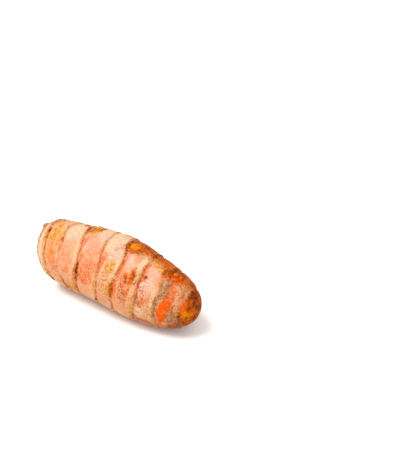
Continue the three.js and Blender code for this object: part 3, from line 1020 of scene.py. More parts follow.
@dataclass(frozen=True)
class RingStains:
    """The dirty line at each ring, the tan band behind it, the bare strip and painted lip highlight beside
    it.
    """

    wander: Veil = Veil(0.16, 4, 1.3, 3)
    patches: Veil = Veil(1, 5, 3.2, 2)
    rim_wander: float = 0.6
    rim_dirt: Band = Band(0.6, 0.1, 0.4, 0.4)
    # A grey line in from the rim, partly painted shade where the rim rounds off.
    rim_line_and_shade: Band = Band(0.9, 1.3, 0.45, 0.45)
    rim_shade: float = 0.25
    rim_lit_angle: float = 54
    rim_lit: Ramp = Ramp(-0.35, 0.1)
    seen_angle: float = 50
    seen_from: float = -0.15
    unseen_dark: tuple[float, float, float] = (0.35, 0.75, 0.9)
    least_dark: float = 0.06
    patchy_dark: float = 0.15
    most_dark: float = 1.2
    line: Band = Band(0.75, 0, 0.3, 0.3)
    line_dark: Ramp = Ramp(0.7, 1.15)
    halo: Band = Band(0.55, 0, 0.3, 0.5)
    halo_dark: Ramp = Ramp(0.1, 1.1)
    glow: Band = Band(1, 0, 0.45, 0.75)
    glow_gain: float = 2.5
    pale: Band = Band(1, -1.5, 0.9, 0.9)
    pale_fade: float = 25
    pale_patches: tuple[float, float] = (0.75, 0.5)
    # Painted highlight: a thin cream line on the lip, just behind each ring's line.
    edge: Band = Band(0.7, -0.5, 0.2, 0.2)
    lip_highlight_gain: float = 4
    tan: Band = Band(1, -0.8, 0.7, 0.7)
    tan_patches: float = 0.4

    def lay(self, ground: Ground, cover: ToneCover) -> None:
        """Lays the rim's dirt and its grey line, which is partly painted shade, and then each ring's stains.

        Args:
            ground: the bare surface.
            cover: the tones so far.
        """
        wander, patchy = ground.veil(self.wander), ground.veil(self.patches)
        inward = ground.x - ground.form.rings[0].x_at(ground.turn) + self.rim_wander * wander
        # Painted shade with the grey line: full on the side facing rim_lit_angle, a quarter elsewhere.
        lit = self.rim_shade + (1 - self.rim_shade) * self.rim_lit.at(ground.facing(self.rim_lit_angle))
        cover.lift(Tone.UMBER, self.rim_dirt.over(inward) * ground.on_skin)
        cover.lift(Tone.ASH, lit * self.rim_line_and_shade.over(inward) * ground.on_skin)
        for ring in ground.form.rings[1:]:
            off = ground.x - ring.x_at(ground.turn) + wander
            dark = self._dark(ground, ring, patchy)
            laid = (
                (Tone.SOOT, self.line.over(off) * self.line_dark.at(dark)),
                (Tone.UMBER, self.halo.over(off) * self.halo_dark.at(dark)),
                (Tone.RUST, self.glow.over(off) * ring.warm * (1 + self.glow_gain * np.clip(dark, 0, 1))),
                (Tone.CREAM, self._pale(ground, ring, off, patchy)),
                (Tone.OCHRE, self.tan.over(off) * np.clip(ring.tan + self.tan_patches * patchy, 0, 1)),
            )
            for tone, value in laid:
                cover.lay(tone, value * ground.on_skin)

    def _dark(self, ground: Ground, ring: LeafRing, patchy: np.ndarray) -> np.ndarray:
        """How dark a ring's line is: as marked on the near side, and in loose patches on the far side.

        Args:
            ground: the bare surface.
            ring: the ring.
            patchy: the grain of the patches.

        Returns:
            Darkness from 0, at each point.
        """
        middle, swing, most = self.unseen_dark
        loose = np.clip(middle + swing * patchy, 0, most)
        seen = ground.facing(self.seen_angle) > self.seen_from
        dark = np.maximum(ring.darkness(ground.turn), np.where(seen, 0, loose))
        return np.clip(dark + self.least_dark + self.patchy_dark * patchy, 0, self.most_dark)

    def _pale(self, ground: Ground, ring: LeafRing, off: np.ndarray, patchy: np.ndarray) -> np.ndarray:
        """The bare strip behind a ring, and the painted highlight along the lip between it and the line.

        Args:
            ground: the bare surface.
            ring: the ring.
            off: each point's distance ahead of the ring.
            patchy: the grain of the patches.

        Returns:
            Numbers from 0 to 1, at each point.
        """
        from_top = np.degrees(np.abs(turn_between(ground.turn, 0.0)))
        high = 1 - smooth_step(ring.pale_to, ring.pale_to + self.pale_fade, from_top)
        middle, swing = self.pale_patches
        strip = self.pale.over(off) * ring.pale * high * np.clip(middle + swing * patchy, 0, 1)
        # The painted highlight on the lip, as strong as the ring's glow allows.
        near = min(ring.warm * self.lip_highlight_gain, 1)
        return np.maximum(strip, self.edge.over(off) * np.clip(0.5 + patchy, 0, 1) * near)


@dataclass(frozen=True)
class BudStains:
    """Each bud's stained eye, the brown outlines round it and the stained skin beyond.

    The inner outline lies a gap beyond the eye's core, and the outer one at a place in eye radii.
    """

    wander: Veil = Veil(0.3, 8, 1.2, 2)
    core_edge: Ramp = Ramp(0.65, 1.0)
    core_clears: float = 0.9
    outline_width: float = 0.28
    inner_gap: float = 0.3
    outer_place: float = 1.45
    outer_strength: float = 0.7
    soot_strength: float = 0.3
    umber_strength: float = 0.9
    halo_edge: Ramp = Ramp(0.9, 1.9)
    halo_start: Ramp = Ramp(0.8, 1.1)

    def lay(self, ground: Ground, cover: ToneCover) -> None:
        """Clears each bud's core and lays its stains.

        Args:
            ground: the bare surface.
            cover: the tones so far.
        """
        wander = ground.veil(self.wander)
        for bud in ground.form.buds:
            distance = ground.form.bud_distance(bud, ground.x, ground.turn) + wander
            eye = bud.radius * ground.form.eye_share
            core = eye * bud.core
            inside = 1 - self.core_edge.at(distance / core)
            inner = bell(distance - core - self.inner_gap, self.outline_width)
            outer = self.outer_strength * bell(distance - self.outer_place * eye, self.outline_width)
            outlines = np.maximum(inner, outer) * bud.lines
            halo = (1 - self.halo_edge.at(distance / eye)) * self.halo_start.at(distance / core)
            cover.clear(self.core_clears * inside * bud.vivid * ground.on_skin)
            laid = (
                (bud.eye, inside), (Tone.SOOT, self.soot_strength * outlines * bud.vivid),
                (Tone.UMBER, self.umber_strength * outlines), (bud.halo, bud.vivid * halo),
            )
            for tone, value in laid:
                cover.lay(tone, value * ground.on_skin)


class Swirl(NamedTuple):
    """Fine arcs round a place: its X and angle, its reach, the arcs' pitch and strength."""

    x: float
    angle: float
    radius: float
    pitch: float
    strength: float


@dataclass(frozen=True)
class SwirlStains:
    """Fine rust arcs that circle a few places, like the grain round a knot."""

    wander: Veil = Veil(0.2, 9, 1.6, 2)
    full_share: float = 0.6
    swirls: tuple[Swirl, ...] = (
        Swirl(-4.2, 80, 3.2, 0.95, 1.0), Swirl(-15.2, 62, 2.6, 1.0, 0.35), Swirl(25.8, 31, 1.7, 1.2, 1.0),
        Swirl(-6.5, 34, 2.6, 1.0, 0.3), Swirl(-5.0, 215, 3.2, 1.0, 0.5), Swirl(9.0, 290, 3.0, 1.0, 0.5),
    )

    def lay(self, ground: Ground, cover: ToneCover) -> None:
        """Lays the arcs.

        Args:
            ground: the bare surface.
            cover: the tones so far.
        """
        wander = ground.veil(self.wander)
        for swirl in self.swirls:
            distance = np.hypot(ground.x - swirl.x, ground.away(swirl.angle)) + wander
            arcs = ripple(FULL_TURN * distance / swirl.pitch + math.pi / 2)
            within = 1 - smooth_step(self.full_share * swirl.radius, swirl.radius, distance)
            cover.lay(Tone.RUST, swirl.strength * arcs * within * ground.on_skin)


@dataclass(frozen=True)
class ScarTissue:
    """The broken end's tissue: a corky rind, a dark line, and an orange core with fibre ends.

    Each ramp runs over the share of the way from the middle of the broken end to its rim.
    """

    wander: Veil = Veil(0.035, 12, 1.6, 3)
    fibre_grain: Veil = Veil(1, 13, 0.8, 2)
    fibre_edge: Ramp = Ramp(0.12, 0.3)
    fibre_strength: float = 0.5
    core_edge: Ramp = Ramp(0.55, 0.62)
    core_strength: float = 0.7
    heart_edge: Ramp = Ramp(0.1, 0.5)
    heart_strength: float = 0.5
    line_place: float = 0.61
    line_width: float = 0.035
    line_strength: float = 0.85
    rim_edge: Ramp = Ramp(0.93, 1.0)
    rim_strength: float = 0.6
    rind_start: Ramp = Ramp(0.66, 0.74)
    rind_end: Ramp = Ramp(0.9, 0.97)
    rind_strength: float = 0.3
    spokes: int = 38
    spoke_twist: float = 9
    spoke_wander: Veil = Veil(2.2, 14, 1.2, 2)

    def lay(self, ground: Ground, cover: ToneCover) -> None:
        """Lays the tissue on the rows of the broken end.

        Args:
            ground: the bare surface.
            cover: the tones so far.
        """
        count = int(np.sum(ground.joints < 0))
        scar = slice(count)
        share = (np.arange(count) / count)[:, None] + ground.veil(self.wander)[scar]
        fibres = self.fibre_strength * self.fibre_edge.at(ground.veil(self.fibre_grain)[scar])
        core = 1 - self.core_edge.at(share)
        rind = self.rind_start.at(share) * (1 - self.rind_end.at(share))
        bent = self.spoke_twist * share + ground.veil(self.spoke_wander)[scar]
        spokes = ripple(self.spokes * ground.turn[scar] + bent)
        laid = (
            (Tone.TAWNY, self.core_strength * core),
            (Tone.AMBER, self.heart_strength * (1 - self.heart_edge.at(share))),
            (Tone.UMBER, self.line_strength * bell(share - self.line_place, self.line_width)),
            (Tone.UMBER, self.rim_strength * self.rim_edge.at(share)),
            (Tone.SOOT, fibres * core),
            (Tone.CREAM, self.rind_strength * rind * spokes),
            (Tone.UMBER, fibres * rind),
            (Tone.CORK, np.ones_like(share)),
        )
        for tone, value in laid:
            cover.lay(tone, value, scar)


def add_object(name: str, data: bpy.types.ID) -> bpy.types.Object:
    """Puts a mesh, a light or a camera into the scene.

    Args:
        name: the object's name.
        data: the mesh, light or camera.

    Returns:
        The new object.
    """
    item = bpy.data.objects.new(name, data)
    bpy.context.scene.collection.objects.link(item)
    return item


def keep_values(mesh: bpy.types.Mesh, label: str, values: np.ndarray) -> None:
    """Keeps a number or a vector for each point of a mesh, as a named attribute.

    Args:
        mesh: the mesh.
        label: the attribute's name.
        values: numbers (n) or vectors (n, 3).
    """
    kind, key = ("FLOAT_VECTOR", "vector") if values.ndim == 2 else ("FLOAT", "value")
    attribute = mesh.attributes.new(label, kind, "POINT")
    attribute.data.foreach_set(key, values.astype(np.float32).ravel())


@dataclass(frozen=True)
class FingerSkin:
    """The finger's own surface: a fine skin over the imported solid, with its stains as attributes."""

    form: FingerForm = field(default_factory=FingerForm)
    around: int = 300
    scar_rows: int = 26
    rim_rows: int = 16
    joint_rows: int = 33
    tip_rows: int = 40
    row_crowding: float = 0.07
    seed: int = 5
    layers: tuple[StainLayer, ...] = (
        SeparateStains(), Washes(), RingStains(), BudStains(), SwirlStains(), ScarTissue(),
    )

    def levels(self) -> list[tuple[int, float]]:
        """The rows of the surface.

        Returns:
            Each row's joint number, -1 on the broken end, and its share of the way along the joint.
        """
        rows = [(-1, i / self.scar_rows) for i in range(self.scar_rows)]
        for joint in range(self.form.last_ring + 1):
            count = self.rim_rows if joint == 0 else self.joint_rows
            count = self.tip_rows if joint == self.form.last_ring else count
            crowding = 0 if joint == self.form.last_ring else self.row_crowding
            shares = [i / count for i in range(count)]
            rows += [(joint, s - crowding * math.sin(FULL_TURN * s)) for s in shares]
        return rows + [(self.form.last_ring, 1.0)]

    def ground(self) -> Ground:
        """The surface's points, and what the stains need to know of each.

        Returns:
            The bare surface.
        """
        angle = np.linspace(0, FULL_TURN, self.around, endpoint=False)
        levels = self.levels()
        points = np.array([
            self.form.scar_row(share, angle) if joint < 0 else self.form.skin_row(joint, share, angle)
            for joint, share in levels
        ])
        turn = np.broadcast_to(angle, points.shape[:2])
        joints = np.array([joint for joint, _ in levels])
        return Ground(self.form, self.seed, points, joints, turn, self.form.along(points[..., 0], "radius"))

    def mesh(self, name: str) -> bpy.types.Object:
        """Builds the closed surface, in metres, with one attribute for each tone.

        Args:
            name: the piece's name.

        Returns:
            The piece, in the scene.
        """
        ground = self.ground()
        cover = ToneCover(ground.x.shape)
        for layer in self.layers:
            layer.lay(ground, cover)
        mesh = bpy.data.meshes.new(name)
        mesh.from_pydata((self._closed(ground.points) * MM).tolist(), [], self._faces(len(ground.points) - 2))
        for tone, values in cover.values.items():
            keep_values(mesh, tone.value, self._closed(values))
        mesh.shade_smooth()
        mesh.validate()
        return add_object(name, mesh)

    @staticmethod
    def _closed(grid: np.ndarray) -> np.ndarray:
        """The values of a grid as one list, with one value for the whole first row and one for the last."""
        return np.concatenate([grid[0, :1], grid[1:-1].reshape(-1, *grid.shape[2:]), grid[-1, :1]])

    def _faces(self, rows: int) -> list[tuple[int, ...]]:
        """The faces: quads between the inner rows, and a fan at each end.

        Args:
            rows: how many inner rows there are.

        Returns:
            The point numbers of each face.
        """
        def at(row: int, step: int) -> int:
            """The number of a point of an inner row."""
            return 1 + row * self.around + step % self.around

        steps = range(self.around)
        last = 1 + rows * self.around
        faces: list[tuple[int, ...]] = [(0, at(0, i + 1), at(0, i)) for i in steps]
        for row in range(rows - 1):
            faces += [(at(row, i), at(row, i + 1), at(row + 1, i + 1), at(row + 1, i)) for i in steps]
        return faces + [(at(rows - 1, i), at(rows - 1, i + 1), last) for i in steps]


def linear(hex_colour: str) -> tuple[float, float, float, float]:
    """An sRGB hex colour in linear light.

    Args:
        hex_colour: the colour, as a hash sign and six hex digits.

    Returns:
        Red, green, blue and alpha.
    """
    channels = [int(hex_colour[i : i + 2], 16) / 255 for i in (1, 3, 5)]
    red, green, blue = (c / 12.92 if c <= 0.04045 else ((c + 0.055) / 1.055) ** 2.4 for c in channels)
    return red, green, blue, 1.0


def add_node(
    tree: Tree, kind: str, links: dict[Any, Any] | None = None, **settings: Any
) -> bpy.types.Node:
    """Adds a node with its settings, its inputs' values and its links.

    Args:
        tree: the node tree that gets the node.
        kind: the node's type name.
        links: input name or number to a plain value, or to an output socket that feeds it.
        settings: properties of the node itself.

    Returns:
        The new node.
    """
    node = tree.nodes.new(kind)
    for name, value in settings.items():
        setattr(node, name, value)
    for key, value in (links or {}).items():
        socket = node.inputs[key]
        if isinstance(value, Socket):
            tree.links.new(value, socket)
        else:
            socket.default_value = value
    return node


class Mottling(NamedTuple):
    """A mottled pattern: its size in millimetres, how it is stretched, and its detail."""

    size: float
    stretch: tuple[float, float, float] = (1, 1, 1)
    detail: float = 2
    roughness: float = 0.5

    def over(self, tree: Tree, place: Socket) -> Socket:
        """Adds the pattern to a tree.

        Args:
            tree: the node tree.
            place: places in metres.

        Returns:
            Numbers round one half.
        """
        scale = tuple(1 / (self.size * MM * s) for s in self.stretch)
        stretched = add_node(tree, "ShaderNodeVectorMath", {0: place, 1: scale}, operation="MULTIPLY")
        fineness = {"Scale": 1.0, "Detail": self.detail, "Roughness": self.roughness}
        return add_node(tree, "ShaderNodeTexNoise", {"Vector": stretched.outputs[0], **fineness}).outputs[0]


class Spread(NamedTuple):
    """Where in a pattern a paint starts and where it is full, and how far it then hides what is below."""

    start: float
    full: float
    hide: float = 1


def lay_paint(
    tree: Tree, under: Any, paint: Any, pattern: Socket, spread: Spread
) -> Socket:
    """Lays a paint over a colour, where a pattern is strong enough.

    Args:
        tree: the node tree.
        under: the colour below, plain or as a socket.
        paint: the colour laid over it, plain or as a socket.
        pattern: the numbers that say where the paint lies.
        spread: how the paint spreads in the pattern.

    Returns:
        The colour with the paint on it.
    """
    eased = {"Value": pattern, "From Min": spread.start, "From Max": spread.full, "To Max": spread.hide}
    share = add_node(tree, "ShaderNodeMapRange", eased, interpolation_type="SMOOTHSTEP").outputs[0]
    return add_node(tree, "ShaderNodeMix", {0: share, 6: under, 7: paint}, data_type="RGBA").outputs[2]


class Paint(NamedTuple):
    """A colour with the pattern that it lies in."""

    colour: str
    pattern: Mottling
    spread: Spread

    def over(
        self, tree: Tree, place: Socket, under: Any
    ) -> Socket:
        """Lays the paint over the colour so far.

        Args:
            tree: the node tree.
            place: places in metres.
            under: the colour so far, plain or as a socket.

        Returns:
            The colour with the paint on it.
        """
        return lay_paint(tree, under, linear(self.colour), self.pattern.over(tree, place), self.spread)


@dataclass(frozen=True)
class ToneFinish:
    """How one tone is painted: two hex colours, how far it hides the skin, and how ragged its edge is."""

    tone: Tone
    light: str
    dark: str
    hide: float
    ragged: float
    size: float
    detail: float = 4
    roughness: float = 0.62
    mottle: Spread = Spread(0.36, 0.64)
    edge: tuple[float, float] = (0.02, 0.9)

    def over(
        self, tree: Tree, place: Socket, under: Socket
    ) -> Socket:
        """Lays the tone over the colour so far, with a ragged edge and a mottled inside.

        Args:
            tree: the node tree.
            place: places in metres.
            under: the colour so far.

        Returns:
            The colour with the tone on it.
        """
        cover = add_node(tree, "ShaderNodeAttribute", attribute_name=self.tone.value).outputs["Fac"]
        grain = Mottling(self.size, detail=self.detail, roughness=self.roughness).over(tree, place)
        torn = {0: grain, 1: 2 * self.ragged, 2: 1 - self.ragged}
        wear = add_node(tree, "ShaderNodeMath", torn, operation="MULTIPLY_ADD").outputs[0]
        worn = add_node(tree, "ShaderNodeMath", {0: cover, 1: wear}, operation="MULTIPLY")
        paint = lay_paint(tree, linear(self.light), linear(self.dark), grain, self.mottle)
        return lay_paint(tree, under, paint, worn.outputs[0], Spread(*self.edge, self.hide))


@dataclass(frozen=True)
class DrySkin:
    """Thin, dry rhizome skin, grown rather than made.

    It gives the eye a low sheen over a mottled peach that the orange flesh warms from below.
    The skin's own colour is in soft clouds with fine streaks along the finger. The flecks are where
    it has flaked, and the specks are dry soil and pores.
    """

    name: str = "dry_turmeric_skin"
    cream: str = "#EECBA6"
    clouds: tuple[Paint, ...] = (
        Paint("#EAB68E", Mottling(6, detail=3), Spread(0.3, 0.7)),
        Paint("#E29A6C", Mottling(0.9, detail=4, roughness=0.65), Spread(0.3, 0.72, 0.75)),
        Paint("#E29A6C", Mottling(0.5, (7, 1, 1), 3, 0.6), Spread(0.5, 0.75, 0.28)),
    )
    flecks: Paint = Paint("#FEDCC0", Mottling(0.6, detail=3, roughness=0.7), Spread(0.58, 0.72, 0.35))
    specks: Paint = Paint("#A85C28", Mottling(0.5, detail=3, roughness=0.7), Spread(0.72, 0.85, 0.75))
    speck_crowds: Mottling = Mottling(4.5, detail=1)
    crowd_share: float = 0.3
    grit_share: float = 0.11
    depth: str = "#CEC2B6"
    roughness: float = 0.52
    roughness_range: float = 0.3
    sheen: Mottling = Mottling(0.9, detail=3)
    gloss: float = 0.04
    refraction: float = 1.42
    flesh_glow: float = 0.08
    glow_radius_mm: tuple[float, float, float] = (1.6, 0.7, 0.3)
    creases: tuple[Mottling, ...] = (
        Mottling(0.35, (6, 1, 1), 3, 0.6), Mottling(0.35, (1, 5, 5), 3, 0.6),
        Mottling(0.4, detail=4, roughness=0.65),
    )
    crease_strength: float = 0.5
    crease_mm: float = 0.12
    flecked_before: Tone = Tone.OCHRE
    tones: tuple[ToneFinish, ...] = (
        ToneFinish(Tone.CORK, "#DDA870", "#A86A38", 1.0, 0.1, 0.8),
        ToneFinish(Tone.CREAM, "#F3E3CC", "#EACAA2", 0.9, 0.8, 1.1),
        ToneFinish(Tone.PEARL, "#F3DFD6", "#E6B9A6", 0.9, 0.9, 0.8),
        ToneFinish(Tone.BLUSH, "#F0B496", "#E49068", 0.85, 0.8, 1.1),
        ToneFinish(Tone.OCHRE, "#EAB862", "#D08E2A", 0.9, 0.9, 0.9),
        ToneFinish(Tone.RUST, "#F28A4E", "#DA5816", 0.85, 1.4, 0.7),
        ToneFinish(Tone.TAWNY, "#E27E1C", "#B64E02", 1.0, 0.8, 0.8),
        ToneFinish(Tone.AMBER, "#FCA400", "#E87400", 1.0, 0.6, 0.8),
        ToneFinish(Tone.EMBER, "#F87A1A", "#E45206", 1.0, 0.8, 1.1),
        ToneFinish(Tone.UMBER, "#BE5E08", "#7A2C00", 0.88, 1.2, 0.7),
        ToneFinish(Tone.ASH, "#D4AA80", "#A0724C", 0.85, 0.8, 1.2),
        ToneFinish(Tone.SOOT, "#8C3800", "#501A00", 0.9, 1.2, 0.6),
    )

    def material(self) -> Material:
        """Builds the material from Object coordinates and the tone attributes.

        Returns:
            The material, for every piece of the finger.
        """
        material = bpy.data.materials.new(self.name)
        material.use_nodes = True
        tree = material.node_tree
        tree.nodes.clear()
        place = add_node(tree, "ShaderNodeTexCoord").outputs["Object"]
        colour = self._colour(tree, place)
        fine = self.sheen.over(tree, place)
        smoothest = self.roughness - self.roughness_range / 2
        ranged = {0: fine, 1: self.roughness_range, 2: smoothest}
        rough = add_node(tree, "ShaderNodeMath", ranged, operation="MULTIPLY_ADD")
        skin = add_node(
            tree,
            "ShaderNodeBsdfPrincipled",
            {
                "Base Color": colour,
                "Roughness": rough.outputs[0],
                "Normal": self._bump(tree, place),
                "IOR": self.refraction,
                "Subsurface Weight": self.flesh_glow,
                "Subsurface Radius": tuple(r * MM for r in self.glow_radius_mm),
                "Subsurface Scale": 1.0,
                "Specular IOR Level": self.gloss,
            },
        )
        add_node(tree, "ShaderNodeOutputMaterial", {"Surface": skin.outputs[0]})
        return material

    def _colour(self, tree: Tree, place: Socket) -> Socket:
        """The skin's own colour, with the tones, flecks and specks on it.

        Args:
            tree: the node tree.
            place: places in metres.

        Returns:
            The finished colour.
        """
        colour: Any = linear(self.cream)
        for cloud in self.clouds:
            colour = cloud.over(tree, place, colour)
        for finish in self.tones:
            if finish.tone is self.flecked_before:
                colour = self.flecks.over(tree, place, colour)
            colour = finish.over(tree, place, colour)
        colour = lay_paint(
            tree, colour, linear(self.specks.colour), self._speck_pattern(tree, place), self.specks.spread
        )
        deepened = {0: 1.0, 6: colour, 7: linear(self.depth)}
        return add_node(tree, "ShaderNodeMix", deepened, data_type="RGBA", blend_type="MULTIPLY").outputs[2]

    def _speck_pattern(self, tree: Tree, place: Socket) -> Socket:
        """Where the specks lie: all over, and closer together in crowds and where there is grit.

        Args:
            tree: the node tree.
            place: places in metres.

        Returns:
            The pattern's numbers.
        """
        pattern = self.specks.pattern.over(tree, place)
        crowd = self.speck_crowds.over(tree, place)
        grit = add_node(tree, "ShaderNodeAttribute", attribute_name=Tone.GRIT.value).outputs["Fac"]
        for more, share in ((crowd, self.crowd_share), (grit, self.grit_share)):
            inputs = {0: more, 1: share, 2: pattern}
            pattern = add_node(tree, "ShaderNodeMath", inputs, operation="MULTIPLY_ADD").outputs[0]
        return pattern

    def _bump(self, tree: Tree, place: Socket) -> Socket:
        """Papery grain too fine for the mesh: short creases along the finger and round it, and pores.

        Args:
            tree: the node tree.
            place: places in metres.

        Returns:
            The bumped normal.
        """
        total, *rest = (crease.over(tree, place) for crease in self.creases)
        for crease in rest:
            total = add_node(tree, "ShaderNodeMath", {0: total, 1: crease}, operation="ADD").outputs[0]
        inputs = {"Height": total, "Strength": self.crease_strength, "Distance": self.crease_mm * MM}
        return add_node(tree, "ShaderNodeBump", inputs).outputs[0]


class GeometryTree:
    """A Geometry Nodes tree with named inputs, run once on a piece and turned into a plain mesh."""

    def __init__(self, name: str, inputs: dict[str, tuple[str, Any]]) -> None:
        """Makes the tree and its inputs.

        Args:
            name: the tree's name.
            inputs: each input's name, with its socket type and value.
        """
        self.tree = bpy.data.node_groups.new(name, "GeometryNodeTree")
        self.tree.interface.new_socket("Geometry", in_out="INPUT", socket_type="NodeSocketGeometry")
        self.values = {}
        for label, (kind, value) in inputs.items():
            socket = self.tree.interface.new_socket(label, in_out="INPUT", socket_type=kind)
            self.values[socket.identifier] = value
        self.tree.interface.new_socket("Geometry", in_out="OUTPUT", socket_type="NodeSocketGeometry")
        self.entry = self.tree.nodes.new("NodeGroupInput")

    def named(self, name: str, kind: str = "FLOAT") -> Socket:
        """A named attribute of the geometry, as a field."""
        node = add_node(self.tree, "GeometryNodeInputNamedAttribute", {"Name": name}, data_type=kind)
        return node.outputs["Attribute"]

    def scatter(self, shape: Socket, material: Material) -> None:
        """Ends the tree in one shape on each point, turned to its directions and scaled to its size.

        Args:
            shape: the shape's geometry, upright along Z and heading along X.
            material: what the shapes are made of.
        """
        align = "FunctionNodeAlignRotationToVector"
        labels = ("outward", "heading", "size")
        outward, heading, size = (self.named(label, "FLOAT_VECTOR") for label in labels)
        upright = add_node(self.tree, align, {"Vector": outward}, axis="Z").outputs[0]
        turned = add_node(self.tree, align, {"Rotation": upright, "Vector": heading}, axis="X").outputs[0]
        inputs = {"Points": self.entry.outputs[0], "Instance": shape, "Rotation": turned, "Scale": size}
        self.finish(add_node(self.tree, "GeometryNodeInstanceOnPoints", inputs).outputs[0], material)

    def finish(self, geometry: Socket, material: Material) -> None:
        """Ends the tree in Realize Instances and Set Material.

        Args:
            geometry: what the tree has made.
            material: what it is made of.
        """
        real = add_node(self.tree, "GeometryNodeRealizeInstances", {"Geometry": geometry}).outputs[0]
        dressed = add_node(self.tree, "GeometryNodeSetMaterial", {"Geometry": real, "Material": material})
        add_node(self.tree, "NodeGroupOutput", {0: dressed.outputs[0]})

    def apply(self, piece: bpy.types.Object) -> bpy.types.Object:
        """Runs the tree on a piece and gives the piece the plain mesh that comes out.

        Args:
            piece: the piece, whose own mesh goes into the tree.

        Returns:
            The same piece, with no modifier left on it.
        """
        modifier = piece.modifiers.new(self.tree.name, "NODES")
        modifier.node_group = self.tree
        for identifier, value in self.values.items():
            modifier[identifier] = value
        graph = bpy.context.evaluated_depsgraph_get()
        evaluated = piece.evaluated_get(graph)
        mesh = bpy.data.meshes.new_from_object(evaluated, preserve_all_data_layers=True, depsgraph=graph)
        piece.modifiers.clear()
        old = piece.data
        piece.data = mesh
        mesh.name = piece.name
        bpy.data.meshes.remove(old)
        return piece


class Wrinkle(NamedTuple):
    """One kind of relief: its name, its height in millimetres and its pattern."""

    name: str
    height: float
    pattern: Mottling


@dataclass(frozen=True)
class SkinRelief:
    """The fine relief that dries and wrinkles into the skin, in millimetres."""

    wrinkles: tuple[Wrinkle, ...] = (
        Wrinkle("Lump Height", 0.34, Mottling(7, detail=1)),
        Wrinkle("Dimple Height", 0.14, Mottling(2.2, detail=2)),
        Wrinkle("Crease Height", 0.09, Mottling(0.8, (6, 1, 1), 2, 0.6)),
        Wrinkle("Band Height", 0.1, Mottling(0.75, (1, 6, 6), 2, 0.6)),
    )
    pit_depth: float = 0.16
    lowest: tuple[float, float, float] = (-1.0, -1.0, 0.0)

    def tree(self, material: Material) -> GeometryTree:
        """Builds the tree that moves each point of the skin along its normal, and none below the floor.

        Args:
            material: what the skin is made of.

        Returns:
            The tree.
        """
        inputs = {wrinkle.name: ("NodeSocketFloat", wrinkle.height * MM) for wrinkle in self.wrinkles}
        inputs["Pit Depth"] = ("NodeSocketFloat", self.pit_depth * MM)
        relief = GeometryTree("skin_relief", inputs)
        tree, entry = relief.tree, relief.entry
        place = add_node(tree, "GeometryNodeInputPosition").outputs[0]
        total: Any = 0.0
        for wrinkle in self.wrinkles:
            pattern = wrinkle.pattern.over(tree, place)
            centred = add_node(tree, "ShaderNodeMath", {0: pattern, 1: 0.5}, operation="SUBTRACT").outputs[0]
            raised = {0: centred, 1: entry.outputs[wrinkle.name], 2: total}
            total = add_node(tree, "ShaderNodeMath", raised, operation="MULTIPLY_ADD").outputs[0]
        pitted = {0: relief.named(Tone.SOOT.value), 1: entry.outputs["Pit Depth"]}
        pit = add_node(tree, "ShaderNodeMath", pitted, operation="MULTIPLY").outputs[0]
        total = add_node(tree, "ShaderNodeMath", {0: total, 1: pit}, operation="SUBTRACT").outputs[0]
        normal = add_node(tree, "GeometryNodeInputNormal").outputs[0]
        push = add_node(tree, "ShaderNodeVectorMath", {0: normal, "Scale": total}, operation="SCALE")
        pushed = {"Geometry": entry.outputs[0], "Offset": push.outputs[0]}
        moved = add_node(tree, "GeometryNodeSetPosition", pushed).outputs[0]
        above = add_node(tree, "ShaderNodeVectorMath", {0: place, 1: self.lowest}, operation="MAXIMUM")
        rested = {"Geometry": moved, "Position": above.outputs[0]}
        relief.finish(add_node(tree, "GeometryNodeSetPosition", rested).outputs[0], material)
        return relief


@dataclass(frozen=True)
class Perch:
    """Places on the skin for small pieces, each with an outward direction, a heading and a size."""

    points: np.ndarray
    outward: np.ndarray
    heading: np.ndarray
    size: np.ndarray
    tones: dict[Tone, np.ndarray] = field(default_factory=dict)

    def piece(self, name: str) -> bpy.types.Object:
        """The places as loose points of a mesh in metres, with their values as attributes.

        Args:
            name: the piece's name.

        Returns:
            The piece, in the scene.
        """
        mesh = bpy.data.meshes.new(name)
        mesh.from_pydata((self.points * MM).tolist(), [], [])
        for label, values in (("outward", self.outward), ("heading", self.heading), ("size", self.size * MM)):
            keep_values(mesh, label, values)
        for tone, values in self.tones.items():
            keep_values(mesh, tone.value, values)
        return add_object(name, mesh)


def directions(angle: np.ndarray) -> tuple[np.ndarray, np.ndarray]:
    """Outward and round-going unit directions.

    Args:
        angle: angles in radians.

    Returns:
        Two lists of directions (n, 3).
    """
    flat = np.zeros_like(angle)
    outward = np.stack([flat, -np.sin(angle), np.cos(angle)], axis=-1)
    around = np.stack([flat, -np.cos(angle), -np.sin(angle)], axis=-1)
    return outward, around


class Stub(NamedTuple):
    """One root stub: its ring and angle, its place ahead of the ring, sizes, lean along X and browning."""

    ring: int
    angle: float
    ahead: float
    radius: float
    height: float
    lean: float
    brown: float


